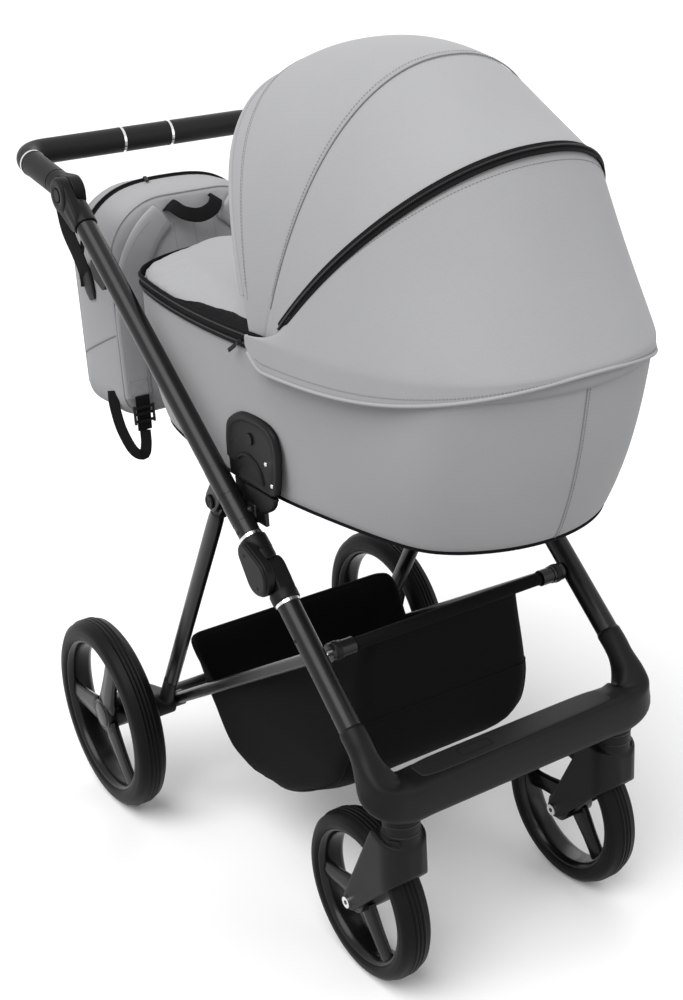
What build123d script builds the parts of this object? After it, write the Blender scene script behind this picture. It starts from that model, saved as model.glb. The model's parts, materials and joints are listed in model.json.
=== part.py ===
"""Folding pram: a bassinet with a hood on a folding chassis, with a bag at the handle.

Millimetres, +X forward, +Y to the pram's left, +Z up. The layout is drawn with x = 0 at the
rear axle; every piece is moved by ORIGIN_X at the end, so that the origin lies on the floor
under the middle of the pram.
"""
from build123d import *
import os
from math import cos, radians, sin

# Running and seating clearances
RUN_FIT = 0.06
SEAT = 0.1
SOFT_GAP = 0.4
LANE_GAP = 0.4

# Wheels
REAR_WHEEL_DIA = 305.0
REAR_WHEEL_WIDTH = 48.0
REAR_TRACK = 526.0
FRONT_WHEEL_DIA = 233.0
FRONT_WHEEL_WIDTH = 46.0
FRONT_TRACK = 346.0
WHEEL_GAP = 0.5
TYRE_SHARE = 0.2
RIM_DEPTH = 8.0
SPOKES = 3
SPOKE_THICK = 14.0
SPOKE_TURN = 65.0
SPOKE_OUT = 10.0
REAR_CAP_IN = 5.0
REAR_STUB_IN = 10.0

# Side tubes of the frame
TUBE_R = 15.0
TUBE_WALL = 2.0
UPPER_Y = 210.0
LOWER_Y = 207.0
FOLD = (460.264, 542.917)
UPPER_LENGTH = 652.0
UPPER_SLOPE = 39.2
LEG_LENGTH = 262.0
LEG_SLOPE = 42.5
SLEEVE_R = 18.5
RING_WIDTH = 4.0
RING_R = 16.6
CLAMP_R = 16.8

# Fold triggers under the upper tubes
TRIGGER_AT = 106.0
TRIGGER_LENGTH = 52.0
TRIGGER_DEPTH = 21.0
TRIGGER_HALF = 9.0

# Fold hinge
HINGE_R = 27.0
TONGUE_R = 20.0
HINGE_UPPER_REACH = 52.0
HINGE_LOWER_REACH = 44.0
HINGE_SPLIT_Y = 217.8
HINGE_OUT_Y = 230.0
HINGE_IN_Y = 194.0
FOLD_PIN_R = 5.0

# Rear legs, side links and rear axle
LEG_PIVOT_UP = 141.0
LEG_PIVOT_DROP = 41.7
LEG_PIN_R = 5.0
REAR_LEG_Y = 200.0
REAR_LEG_R = 9.0
EAR_IN_Y = 205.0
EAR_OUT_Y = 217.0
LINK_Y = 178.0
LINK_R = 9.0
LINK_EYE_R = 12.0
LINK_PIN_R = 4.0
LINK_ON_LEG = 124.6
LINK_REAR = (66.0, 175.0)
AXLE_R = 9.0
STUB_R = 6.0
BRACKET_IN_Y = 188.5

# Brake pedal on the rear axle
PEDAL_HALF = 32.0
PEDAL_REACH = 62.0

# Footrest crossbar and castors
FOOT_AHEAD = 57.6
FOOT_DEPTH = 56.0
FOOT_HEIGHT = 54.0
FOOT_DROP = 81.9
FOOT_END_Y = 178.0
FOOT_ROUND = 26.0
FOOT_CORNER_R = 46.0
ELBOW_R = 18.5
ELBOW_TURN_R = 30.0
SOCKET_DEPTH = 38.0
TREAD_THICK = 2.5
CASTOR_AHEAD = 21.6
CASTOR_TRAIL = 85.0
COLLAR_R = 24.0
SPINDLE_R = 8.0
SPINDLE_RISE = 32.0
FORK_ARM = 7.0
FORK_GAP = 3.0
FORK_EYE_R = 14.0
FORK_EDGE = 4.0
# Corners of the fork's cheek: ahead of the castor's axis, above the crown, and radius
FORK_CORNERS = ((-19.0, 24.0, 9.0), (17.0, 14.0, 9.0), (21.0, -20.0, 6.0))
FORK_NOSE = 5.0
FRONT_AXLE_R = 5.0

# Basket
BASKET_HEM_HALF = (122.0, 162.0)
BASKET_BULGE_HALF = (152.0, 167.0)
BASKET_FLOOR_HALF = (138.0, 162.0)
BASKET_BULGE_Z = 255.0
BASKET_FLOOR_Z = 118.0
BASKET_REAR_HEM = (130.0, 308.0)
BASKET_CLOTH = 3.0
# The basket's side profile from the front hem to the rear one, as shares of its length and height
BASKET_PROFILE = ((0.0, 1.0), (0.0914, 0.358), (0.2285, 0.2172), (0.4402, 0.0704), (0.6399, 0.0),
                  (0.8316, 0.047), (0.9615, 0.2759))
BASKET_BAR_R = 6.0
BASKET_CAP_R = 11.0

# Handle
HANDLE_REACH = 175.0
HANDLE_RISE = 35.0
HANDLE_ARM_Y = 205.0
HANDLE_CORNER_R = 36.0
HANDLE_TUBE_R = 11.0
GRIP_R = 19.0
HUB_R = 25.0
HUB_REACH = 50.0
HUB_IN_Y = 193.0
HUB_SPLIT_Y = 211.8
HUB_OUT_Y = 226.0
BUTTON_R = 9.0
BUTTON_TRAVEL = 3.0
GRIP_RING_Y = 41.0
GRIP_RING_ARM = 134.0

# Bassinet
TUB_RIM_Z = 840.0
TUB_BASE_Z = 620.0
TUB_WALL = 6.0
TUB_REAR_X = -20.0
RIM_WAIST = (420.0, 205.0)
RIM_GAP = 2.0
RIM_REAR_CORNER = (60.0, 165.0)
BASE_FRONT_X = 757.0
BASE_REAR_X = 5.0
BASE_CORNER = (690.0, 135.0)
BASE_WAIST = (440.0, 178.0)
BASE_REAR_CORNER = (65.0, 140.0)
MATTRESS_THICK = 38.0
APRON_CROWN_R = 1500.0
APRON_THICK = 18.0
APRON_FRONT_X = 440.0
BRACKET_FACE_Y = 195.5
ADAPTER_UP = 92.0
BRACKET_HALF = 48.0
LUG_TOP_Z = 668.0
LUG_IN_Y = 186.6
LUG_OUT_Y = 192.8
LUG_LENGTH = 40.0
RELEASE_R = 8.0
RELEASE_TRAVEL = 2.0

# Hood: each section is its angle up from the front, half width, radius from the pivot axis,
# and the place of its shoulder as shares of both
HOOD_PIVOT = (488.0, 852.0)
HOOD_HALF = 212.0
HOOD_BACK = (
    (0.0, 212.0, 338.0, 0.77, 0.81),
    (20.5, 210.0, 327.0, 0.755, 0.80),
    (41.0, 208.0, 333.0, 0.72, 0.765),
)
HOOD_MID = (
    (39.5, 204.0, 321.5, 0.715, 0.765),
    (54.0, 204.0, 321.5, 0.71, 0.765),
    (70.0, 204.0, 321.5, 0.705, 0.765),
)
HOOD_FRONT = (
    (67.0, 200.0, 315.0, 0.7, 0.76),
    (94.0, 200.0, 318.0, 0.7, 0.76),
    (122.0, 200.0, 333.0, 0.71, 0.765),
)
HOOD_SIDE_R = 60.0
HOOD_SHELL = 2.8
HOOD_HEM_Z = 830.0
HOOD_PIN_R = 6.0
HOOD_BOSS_R = 11.5
HOOD_FOOT_R = 8.0
BOW_DEPTH = 6.0
BOW_SEAT = 0.5
BOW_RISE = 0.85
BOW_ANGLE = 3.0
BOW_FOOT_R = 28.0

# Bag
BAG_BEHIND = 60.0
BAG_DEPTH = 145.0
BAG_HALF = 150.0
BAG_BASE_Z = 585.0
BAG_BELOW_HINGE = 25.0
BAG_ARCH = 105.0
BAG_ROUND = 40.0
BAG_EDGE = 28.0
BAG_STRAP_DROP = 125.0
STRAP_WIDTH = 22.0
STRAP_THICK = 2.0
SHOULDER_Y = 85.0
SHOULDER_WIDTH = 55.0
SHOULDER_THICK = 12.0

nodes = {}


def along(start, slope, length, drop=0.0):
    """The (x, z) point a length down a sloping line, dropped square to it by drop."""
    a = radians(slope)
    return (start[0] + length * cos(a) - drop * sin(a), start[1] - length * sin(a) - drop * cos(a))


# The frame is laid out from the fold hinge, up to the handle and down to the castors
HANDLE_PIVOT = along(FOLD, UPPER_SLOPE, -UPPER_LENGTH)
HANDLE_BAR = (HANDLE_PIVOT[0] - HANDLE_REACH, HANDLE_PIVOT[1] + HANDLE_RISE)
BAG_FRONT_X = TUB_REAR_X - BAG_BEHIND
BAG_TOP_Z = HANDLE_PIVOT[1] - BAG_BELOW_HINGE
BAG_STRAP_Z = BAG_TOP_Z - BAG_STRAP_DROP
ORIGIN_X = (HOOD_PIVOT[0] + HOOD_BACK[0][2] + HANDLE_BAR[0] - GRIP_R) / 2


def upper(length, drop=0.0):
    return along(HANDLE_PIVOT, UPPER_SLOPE, length, drop)


def lower(length, drop=0.0):
    return along(FOLD, LEG_SLOPE, length, drop)


ADAPTER_AT = UPPER_LENGTH - ADAPTER_UP
LEG_PIVOT_AT = UPPER_LENGTH - LEG_PIVOT_UP
LEG_PIVOT = upper(LEG_PIVOT_AT, LEG_PIVOT_DROP)
LINK_FRONT = lower(LINK_ON_LEG)
LEG_END = lower(LEG_LENGTH)
# The footrest and the castors hang on the ends of the front legs, to whole millimetres
FOOT_FRONT_X = round(LEG_END[0] + FOOT_AHEAD)
FOOT_REAR_X = FOOT_FRONT_X - FOOT_DEPTH
FOOT_BASE_Z = round(LEG_END[1] - FOOT_DROP)
FOOT_TOP_Z = FOOT_BASE_Z + FOOT_HEIGHT
CASTOR_X = round(LEG_END[0] + CASTOR_AHEAD)
WHEEL_BASE = CASTOR_X - CASTOR_TRAIL
REAR_AXLE = (0.0, REAR_WHEEL_DIA / 2)
FRONT_AXLE = (WHEEL_BASE, FRONT_WHEEL_DIA / 2)
REAR_Y = REAR_TRACK / 2
FRONT_Y = FRONT_TRACK / 2
BRACKET_OUT_Y = REAR_Y - REAR_WHEEL_WIDTH / 2 - WHEEL_GAP


def between(a, b, share_mm):
    """The (x, z) point share_mm from a on the way to b."""
    run = Vector(b[0] - a[0], b[1] - a[1])
    step = run.normalized() * share_mm
    return (a[0] + step.X, a[1] + step.Y)


def distance(a, b):
    return Vector(b[0] - a[0], b[1] - a[1]).length


def rod(start, end, radius):
    run = Vector(*end) - Vector(*start)
    return extrude(Plane(origin=start, z_dir=run) * Circle(radius), amount=run.length)


def side_rod(a, b, y, radius):
    """A round bar between two (x, z) points in the plane at y."""
    return rod((a[0], y, a[1]), (b[0], y, b[1]), radius)


def cross_rod(at, y0, y1, radius):
    """A round bar along Y at the (x, z) point at."""
    return rod((at[0], y0, at[1]), (at[0], y1, at[1]), radius)


def plate(outline, y0, y1):
    """An outline drawn in x and z, between two values of y."""
    face = Plane(origin=(0, y1, 0), x_dir=(1, 0, 0), z_dir=(0, -1, 0)) * outline
    return extrude(face, amount=y1 - y0, dir=(0, -1, 0))


def round_plate(a, ra, b, rb, y0, y1):
    """A plate with round ends of radius ra at a and rb at b."""
    ends = Pos(*a) * Circle(ra) + Pos(*b) * Circle(rb)
    return plate(make_hull(ends.edges()), y0, y1)


def polygon(points, corner_r):
    return fillet(Polygon(*points, align=None).vertices(), corner_r)


def mirrored(shape):
    return mirror(shape, about=Plane.XZ)


def add_sides(name, left):
    nodes[name + "_left"] = left
    nodes[name + "_right"] = mirrored(left)


def add_pair(name, left):
    nodes[name] = Compound(left.solids() + mirrored(left).solids())


def make_upper_frame():
    tube_top = HUB_R + 3
    tube_end = UPPER_LENGTH - HINGE_R - 5
    tube = side_rod(upper(tube_top), upper(tube_end), UPPER_Y, TUBE_R)
    tube -= side_rod(upper(tube_top), upper(tube_end), UPPER_Y, TUBE_R - TUBE_WALL)
    add_sides("upper_tube", tube)

    reach = UPPER_LENGTH - HINGE_UPPER_REACH
    hinge = side_rod(upper(reach), upper(UPPER_LENGTH - HINGE_R - 2.5), UPPER_Y, SLEEVE_R)
    cheek_in = HINGE_SPLIT_Y + LANE_GAP / 2
    hinge += round_plate(FOLD, HINGE_R, upper(reach + SLEEVE_R), SLEEVE_R - 2, cheek_in, HINGE_OUT_Y)
    hinge -= side_rod(upper(reach - 1), upper(tube_end + SEAT), UPPER_Y, TUBE_R + SEAT)
    hinge -= cross_rod(FOLD, HINGE_IN_Y - 5, HINGE_OUT_Y + 5, FOLD_PIN_R + RUN_FIT)
    add_pair("fold_hinge_uppers", hinge)

    ring = side_rod(upper(reach - RING_WIDTH), upper(reach), UPPER_Y, RING_R)
    ring -= side_rod(upper(reach - RING_WIDTH), upper(reach), UPPER_Y, TUBE_R + SEAT)
    add_pair("upper_rings", ring)

    clamp = side_rod(upper(LEG_PIVOT_AT - 22), upper(LEG_PIVOT_AT + 22), UPPER_Y, CLAMP_R)
    clamp += round_plate(upper(LEG_PIVOT_AT), SLEEVE_R - 2.5, LEG_PIVOT, LEG_PIN_R + 10, EAR_IN_Y, EAR_OUT_Y)
    clamp -= side_rod(upper(LEG_PIVOT_AT - 30), upper(LEG_PIVOT_AT + 30), UPPER_Y, TUBE_R + SEAT)
    clamp -= cross_rod(LEG_PIVOT, EAR_IN_Y - 5, EAR_OUT_Y + 5, LEG_PIN_R + RUN_FIT)
    add_pair("leg_pivot_blocks", clamp)

    fold_pin = cross_rod(FOLD, HINGE_IN_Y, HINGE_OUT_Y, FOLD_PIN_R)
    fold_pin += cross_rod(FOLD, HINGE_OUT_Y, HINGE_OUT_Y + 2, FOLD_PIN_R + 3.5)
    leg_pin = cross_rod(LEG_PIVOT, REAR_LEG_Y - REAR_LEG_R, EAR_OUT_Y, LEG_PIN_R)
    leg_pin += cross_rod(LEG_PIVOT, EAR_OUT_Y, EAR_OUT_Y + 2, LEG_PIN_R + 3)
    add_pair("frame_pins", Compound([fold_pin.solid(), leg_pin.solid()]))

    low = TUBE_R + LANE_GAP
    far = TRIGGER_AT + TRIGGER_LENGTH
    grip = polygon([upper(TRIGGER_AT, low), upper(far, low), upper(far - 3, low + 0.67 * TRIGGER_DEPTH),
                    upper(TRIGGER_AT + 22, low + TRIGGER_DEPTH),
                    upper(TRIGGER_AT + 4, low + 0.6 * TRIGGER_DEPTH)], 4)
    add_sides("fold_trigger", plate(grip, UPPER_Y - TRIGGER_HALF, UPPER_Y + TRIGGER_HALF))

    seat = upper(ADAPTER_AT)
    sleeve_in = UPPER_Y - CLAMP_R
    adapter = side_rod(upper(ADAPTER_AT - 15), upper(ADAPTER_AT + 15), UPPER_Y, CLAMP_R)
    adapter += lug_box(seat, seat[1] - 12, LUG_TOP_Z, 0.0)
    adapter += Pos(seat[0], (LUG_IN_Y + sleeve_in) / 2 + 4, seat[1]) * Box(30, sleeve_in - LUG_IN_Y + 8, 22)
    adapter -= side_rod(upper(ADAPTER_AT - 30), upper(ADAPTER_AT + 30), UPPER_Y, TUBE_R + SEAT)
    add_pair("chassis_adapters", adapter)


def lug_box(seat, z0, z1, play):
    """The upright tongue of the adapter, or with play the slot that drops over it."""
    width = LUG_OUT_Y - LUG_IN_Y + 2 * play
    middle = (LUG_OUT_Y + LUG_IN_Y) / 2
    height = z1 - z0
    return Pos(seat[0] + 18, middle, z0 + height / 2) * Box(LUG_LENGTH + 2 * play, width, height)


def make_handle():
    arm = lambda d: between(HANDLE_PIVOT, HANDLE_BAR, d)

    base = cross_rod(HANDLE_PIVOT, HUB_SPLIT_Y + LANE_GAP / 2, HUB_OUT_Y, HUB_R)
    base += round_plate(HANDLE_PIVOT, HUB_R, upper(48), SLEEVE_R - 2, HUB_SPLIT_Y + LANE_GAP / 2, HUB_OUT_Y)
    base += side_rod(upper(HUB_R + 1), upper(64), UPPER_Y, SLEEVE_R - 1)
    base -= side_rod(upper(HUB_R + 3 - SEAT), upper(70), UPPER_Y, TUBE_R + SEAT)
    base -= cross_rod(HANDLE_PIVOT, HUB_OUT_Y - 12, HUB_OUT_Y + 5, BUTTON_R + SEAT)
    add_pair("handle_hinge_bases", base)

    button = cross_rod(HANDLE_PIVOT, HUB_OUT_Y - 8, HUB_OUT_Y + BUTTON_TRAVEL, BUTTON_R)
    add_sides("handle_button", button)

    hub = cross_rod(HANDLE_PIVOT, HUB_IN_Y, HUB_SPLIT_Y - LANE_GAP / 2, HUB_R)
    hub_out = HUB_SPLIT_Y - LANE_GAP / 2
    hub += round_plate(HANDLE_PIVOT, HUB_R, arm(HUB_REACH - GRIP_R), GRIP_R - 1, HUB_IN_Y, hub_out)
    hub += side_rod(arm(HUB_R + 1), arm(HUB_REACH), HANDLE_ARM_Y, GRIP_R)
    hub -= side_rod(arm(HUB_R + 4), arm(HUB_REACH + 5), HANDLE_ARM_Y, HANDLE_TUBE_R + SEAT)
    add_sides("handle_hinge", hub)

    def u_path(start):
        a = arm(start)
        near = [(a[0], HANDLE_ARM_Y, a[1]), (HANDLE_BAR[0], HANDLE_ARM_Y, HANDLE_BAR[1])]
        far = [(x, -y, z) for x, y, z in reversed(near)]
        return FilletPolyline(*near, *far, radius=HANDLE_CORNER_R)

    def sweep_ring(start, outer, inner):
        path = u_path(start)
        section = Circle(outer)
        if inner > 0:
            section -= Circle(inner)
        return sweep(Plane(origin=path @ 0, z_dir=path % 0) * section, path=path)

    nodes["handle_tube"] = sweep_ring(HUB_R + 4 + SEAT, HANDLE_TUBE_R, HANDLE_TUBE_R - TUBE_WALL)
    nodes["handle_grip"] = sweep_ring(HUB_REACH + SEAT, GRIP_R, HANDLE_TUBE_R + SEAT)

    bar_ring = Pos(HANDLE_BAR[0], 0, HANDLE_BAR[1]) * cross_rod(
        (0, 0), GRIP_RING_Y - RING_WIDTH / 2, GRIP_RING_Y + RING_WIDTH / 2, GRIP_R + 1)
    bar_ring -= cross_rod(HANDLE_BAR, 0, 2 * GRIP_RING_Y, GRIP_R + SEAT)
    ends = (arm(GRIP_RING_ARM), arm(GRIP_RING_ARM + RING_WIDTH))
    arm_ring = side_rod(*ends, HANDLE_ARM_Y, GRIP_R + 1) - side_rod(*ends, HANDLE_ARM_Y, GRIP_R + SEAT)
    add_pair("grip_rings", Compound([bar_ring.solid(), arm_ring.solid()]))


def make_front_frame():
    leg_top = HINGE_R + 5
    leg = side_rod(lower(leg_top), lower(LEG_LENGTH), LOWER_Y, TUBE_R)
    leg -= side_rod(lower(leg_top), lower(LEG_LENGTH), LOWER_Y, TUBE_R - TUBE_WALL)
    add_sides("front_leg", leg)

    tongue_out = HINGE_SPLIT_Y - LANE_GAP / 2
    hinge = cross_rod(FOLD, HINGE_IN_Y, tongue_out, TONGUE_R)
    tongue_end = lower(HINGE_LOWER_REACH - SLEEVE_R)
    hinge += round_plate(FOLD, TONGUE_R, tongue_end, SLEEVE_R - 1, HINGE_IN_Y, tongue_out)
    hinge += side_rod(lower(HINGE_R + 2), lower(HINGE_LOWER_REACH), LOWER_Y, SLEEVE_R)
    hinge -= side_rod(lower(leg_top - SEAT), lower(HINGE_LOWER_REACH + 40), LOWER_Y, TUBE_R + SEAT)
    hinge -= cross_rod(FOLD, HINGE_IN_Y - 5, HINGE_OUT_Y + 5, FOLD_PIN_R + RUN_FIT)
    add_pair("fold_hinge_lowers", hinge)

    ends = (lower(HINGE_LOWER_REACH), lower(HINGE_LOWER_REACH + RING_WIDTH))
    ring = side_rod(*ends, LOWER_Y, RING_R) - side_rod(*ends, LOWER_Y, TUBE_R + SEAT)
    add_pair("lower_rings", ring)

    eye_in = LINK_Y - LINK_R
    bar = cross_rod(LINK_FRONT, -(eye_in - 18), eye_in - 18, BASKET_BAR_R)
    cap = cross_rod(LINK_FRONT, eye_in - 18, eye_in - LANE_GAP, BASKET_CAP_R)
    nodes["basket_bar"] = bar + cap + mirrored(cap)
    pin = cross_rod(LINK_FRONT, eye_in - LANE_GAP, LOWER_Y - TUBE_R - SEAT / 2, LINK_PIN_R)
    add_pair("link_pins", pin)


def make_footrest():
    beam = polygon([(FOOT_REAR_X, FOOT_BASE_Z + 6), (FOOT_REAR_X, FOOT_TOP_Z), (FOOT_FRONT_X - 7, FOOT_TOP_Z),
                    (FOOT_FRONT_X, FOOT_TOP_Z - 16), (FOOT_FRONT_X - 10, FOOT_BASE_Z),
                    (FOOT_REAR_X + 8, FOOT_BASE_Z)], 5)
    bar = plate(beam, -FOOT_END_Y, FOOT_END_Y)
    middle = ((FOOT_REAR_X + FOOT_FRONT_X) / 2, (FOOT_BASE_Z + FOOT_TOP_Z) / 2)
    depth = FOOT_FRONT_X - FOOT_REAR_X
    plan = Pos(middle[0], 0, FOOT_BASE_Z) * RectangleRounded(depth, 2 * FOOT_END_Y, FOOT_ROUND)
    bar &= extrude(plan, amount=FOOT_TOP_Z - FOOT_BASE_Z)
    route = [lower(LEG_LENGTH - SOCKET_DEPTH), lower(LEG_LENGTH), middle]
    points = [(x, LOWER_Y, z) for x, z in route] + [(middle[0], FOOT_END_Y - 40, middle[1])]
    path = FilletPolyline(*points, radius=[ELBOW_TURN_R, FOOT_CORNER_R])
    elbow = sweep(Plane(origin=path @ 0, z_dir=path % 0) * Circle(ELBOW_R), path=path)
    elbow += rod((CASTOR_X, FRONT_Y, FOOT_BASE_Z), (CASTOR_X, FRONT_Y, FOOT_TOP_Z - 8), COLLAR_R + 2)
    socket = side_rod(lower(LEG_LENGTH - SOCKET_DEPTH - 20), lower(LEG_LENGTH + SEAT), LOWER_Y, TUBE_R + SEAT)
    spindle = rod((CASTOR_X, FRONT_Y, FOOT_BASE_Z - 1),
                  (CASTOR_X, FRONT_Y, FOOT_BASE_Z + SPINDLE_RISE + 1), SPINDLE_R + RUN_FIT)
    bored = bar + elbow + mirrored(elbow)
    for cut in (socket, spindle):
        bored -= cut
        bored -= mirrored(cut)
    nodes["footrest"] = bored

    tread_x = (FOOT_REAR_X + FOOT_FRONT_X - 7) / 2
    tread = Pos(tread_x, 0, FOOT_TOP_Z + TREAD_THICK / 2) * Box(36, 2 * FOOT_END_Y - 66, TREAD_THICK)
    nodes["footrest_tread"] = chamfer(tread.edges().group_by(Axis.Z)[-1], 1)


def basket_plan(inset, z, widths):
    """The basket in plan at a height, with its front and rear half widths."""
    front = widths[0] - inset
    rear = widths[1] - inset
    rear_x = BASKET_REAR_HEM[0] - 5
    return Pos(0, 0, z) * Polygon((rear_x, -rear), (LINK_FRONT[0], -front), (LINK_FRONT[0], front),
                                  (rear_x, rear), align=None)


def basket_block(inset, profile):
    """The basket's side profile, between sides that are widest at half height."""
    sides = loft([basket_plan(inset, BASKET_FLOOR_Z - 10, BASKET_FLOOR_HALF),
                  basket_plan(inset, BASKET_BULGE_Z, BASKET_BULGE_HALF),
                  basket_plan(inset, LINK_FRONT[1] + 100, BASKET_HEM_HALF)], ruled=True)
    return plate(Polygon(*profile, align=None), -LINK_Y, LINK_Y) & sides


def make_basket():
    hem_x = LINK_FRONT[0] - BASKET_BAR_R - SOFT_GAP
    hem_z = LINK_FRONT[1]
    rear_x, rear_z = BASKET_REAR_HEM
    cloth = BASKET_CLOTH
    floor_z = BASKET_FLOOR_Z
    length = hem_x - rear_x
    depth = hem_z - floor_z
    outer = [(hem_x - length * a, floor_z + depth * b) for a, b in BASKET_PROFILE]
    outer.append((rear_x, rear_z))
    middle_x = hem_x - length / 2
    inner = [(x - cloth if x > middle_x else x + cloth, z + cloth) for x, z in outer[1:-1]]
    inner = [(hem_x - cloth, hem_z + 90), (hem_x - cloth, hem_z), *inner]
    inner += [(rear_x + cloth + 1, rear_z), (rear_x + cloth + 1, rear_z + 90)]
    nodes["basket"] = basket_block(0.0, outer) - basket_block(cloth, inner)


def make_rear_frame():
    length = distance(LEG_PIVOT, LINK_REAR)
    leg = lambda d: between(LEG_PIVOT, LINK_REAR, d)
    bar = side_rod(leg(LEG_PIN_R + 13), leg(length - 14), REAR_LEG_Y, REAR_LEG_R)
    eye_out = EAR_IN_Y - LANE_GAP
    eye_in = REAR_LEG_Y - REAR_LEG_R
    bar += round_plate(LEG_PIVOT, LEG_PIN_R + 9, leg(30), REAR_LEG_R, eye_in, eye_out)
    bar -= cross_rod(LEG_PIVOT, eye_in - 5, eye_out + 5, LEG_PIN_R + RUN_FIT)
    add_sides("rear_leg", bar)

    bracket = round_plate(REAR_AXLE, 22, LINK_REAR, 18, BRACKET_IN_Y, BRACKET_OUT_Y)
    bracket += side_rod(leg(length - 70), leg(length - 8), REAR_LEG_Y, REAR_LEG_R + 2.5)
    bracket += cross_rod(LINK_REAR, LINK_Y + LINK_R + LANE_GAP, BRACKET_IN_Y, 10)
    bracket -= side_rod(leg(length - 90), leg(length - 14 + SEAT), REAR_LEG_Y, REAR_LEG_R + SEAT)
    bracket -= cross_rod(REAR_AXLE, BRACKET_IN_Y - 5, BRACKET_OUT_Y + 5, STUB_R + RUN_FIT)
    add_sides("rear_bracket", bracket)

    shoulder = BRACKET_IN_Y - SEAT
    stub_end = REAR_Y + REAR_WHEEL_WIDTH / 2 - REAR_STUB_IN
    axle = cross_rod(REAR_AXLE, -shoulder, shoulder, AXLE_R)
    axle += cross_rod(REAR_AXLE, -stub_end, stub_end, STUB_R)
    nodes["rear_axle"] = axle

    tread = polygon([(-AXLE_R, REAR_AXLE[1] + 10), (-PEDAL_REACH, REAR_AXLE[1] + 20),
                     (-PEDAL_REACH, REAR_AXLE[1] + 11), (-AXLE_R, REAR_AXLE[1] - 6)], 2)
    pedal = plate(tread, -PEDAL_HALF, PEDAL_HALF)
    pedal += cross_rod(REAR_AXLE, -PEDAL_HALF, PEDAL_HALF, AXLE_R + 5)
    pedal -= cross_rod(REAR_AXLE, -PEDAL_HALF - 5, PEDAL_HALF + 5, AXLE_R + LANE_GAP)
    nodes["brake_pedal"] = pedal


def make_side_links():
    length = distance(LINK_REAR, LINK_FRONT)
    link = lambda d: between(LINK_REAR, LINK_FRONT, d)
    bar = side_rod(link(LINK_EYE_R - 2), link(length - LINK_EYE_R + 2), LINK_Y, LINK_R)
    for end in (LINK_REAR, LINK_FRONT):
        bar += cross_rod(end, LINK_Y - LINK_R, LINK_Y + LINK_R, LINK_EYE_R)
    bar -= cross_rod(LINK_FRONT, LINK_Y - 20, LINK_Y + 20, LINK_PIN_R + RUN_FIT)
    add_sides("side_link", bar)


def wheel(axle, y, dia, width, bore_r, hub_r, hub_in, hub_out):
    """A tyre and a spoked rim about an axle along Y."""
    outer = dia / 2
    seat = outer * (1 - TYRE_SHARE)
    tyre = cross_rod(axle, y - width / 2, y + width / 2, outer)
    tyre -= cross_rod(axle, y - width, y + width, seat)
    tyre = fillet(tyre.edges().filter_by(GeomType.CIRCLE).group_by(SortBy.RADIUS)[-1], width * 0.3)
    rim_half = width / 2 - 6
    rim = cross_rod(axle, y - rim_half, y + rim_half, seat - SEAT)
    rim -= cross_rod(axle, y - width, y + width, seat - RIM_DEPTH)
    rim += cross_rod(axle, y - hub_in, y + hub_out, hub_r)
    reach = seat - RIM_DEPTH + 2
    blade = Polygon((hub_r - 4, -hub_r * 0.62), (reach * 0.55, -hub_r * 0.5), (reach, -hub_r * 0.85),
                    (reach, hub_r * 0.85), (reach * 0.55, hub_r * 0.5), (hub_r - 4, hub_r * 0.62), align=None)
    for k in range(SPOKES):
        turned = Pos(*axle) * Rot(0, 0, SPOKE_TURN + 360 * k / SPOKES) * blade
        rim += plate(turned, y + SPOKE_OUT - SPOKE_THICK / 2, y + SPOKE_OUT + SPOKE_THICK / 2)
    return tyre, rim, bore_r


def make_wheels():
    rear_hub = REAR_WHEEL_WIDTH / 2 - 1
    size = (REAR_WHEEL_DIA, REAR_WHEEL_WIDTH)
    tyre, rim, bore = wheel(REAR_AXLE, REAR_Y, *size, STUB_R, 26, rear_hub, REAR_WHEEL_WIDTH / 2 - REAR_CAP_IN)
    stub_end = REAR_Y + REAR_WHEEL_WIDTH / 2 - REAR_STUB_IN
    rim -= cross_rod(REAR_AXLE, REAR_Y - REAR_WHEEL_WIDTH, stub_end + 1, bore + RUN_FIT)
    add_sides("rear_tyre", tyre)
    add_sides("rear_rim", rim)

    front_hub = FRONT_WHEEL_WIDTH / 2 + FORK_GAP - LANE_GAP
    size = (FRONT_WHEEL_DIA, FRONT_WHEEL_WIDTH)
    tyre, rim, bore = wheel(FRONT_AXLE, FRONT_Y, *size, FRONT_AXLE_R, 20, front_hub, front_hub)
    rim -= cross_rod(FRONT_AXLE, FRONT_Y - 50, FRONT_Y + 50, bore + RUN_FIT)
    add_sides("front_tyre", tyre)
    add_sides("front_rim", rim)


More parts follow.
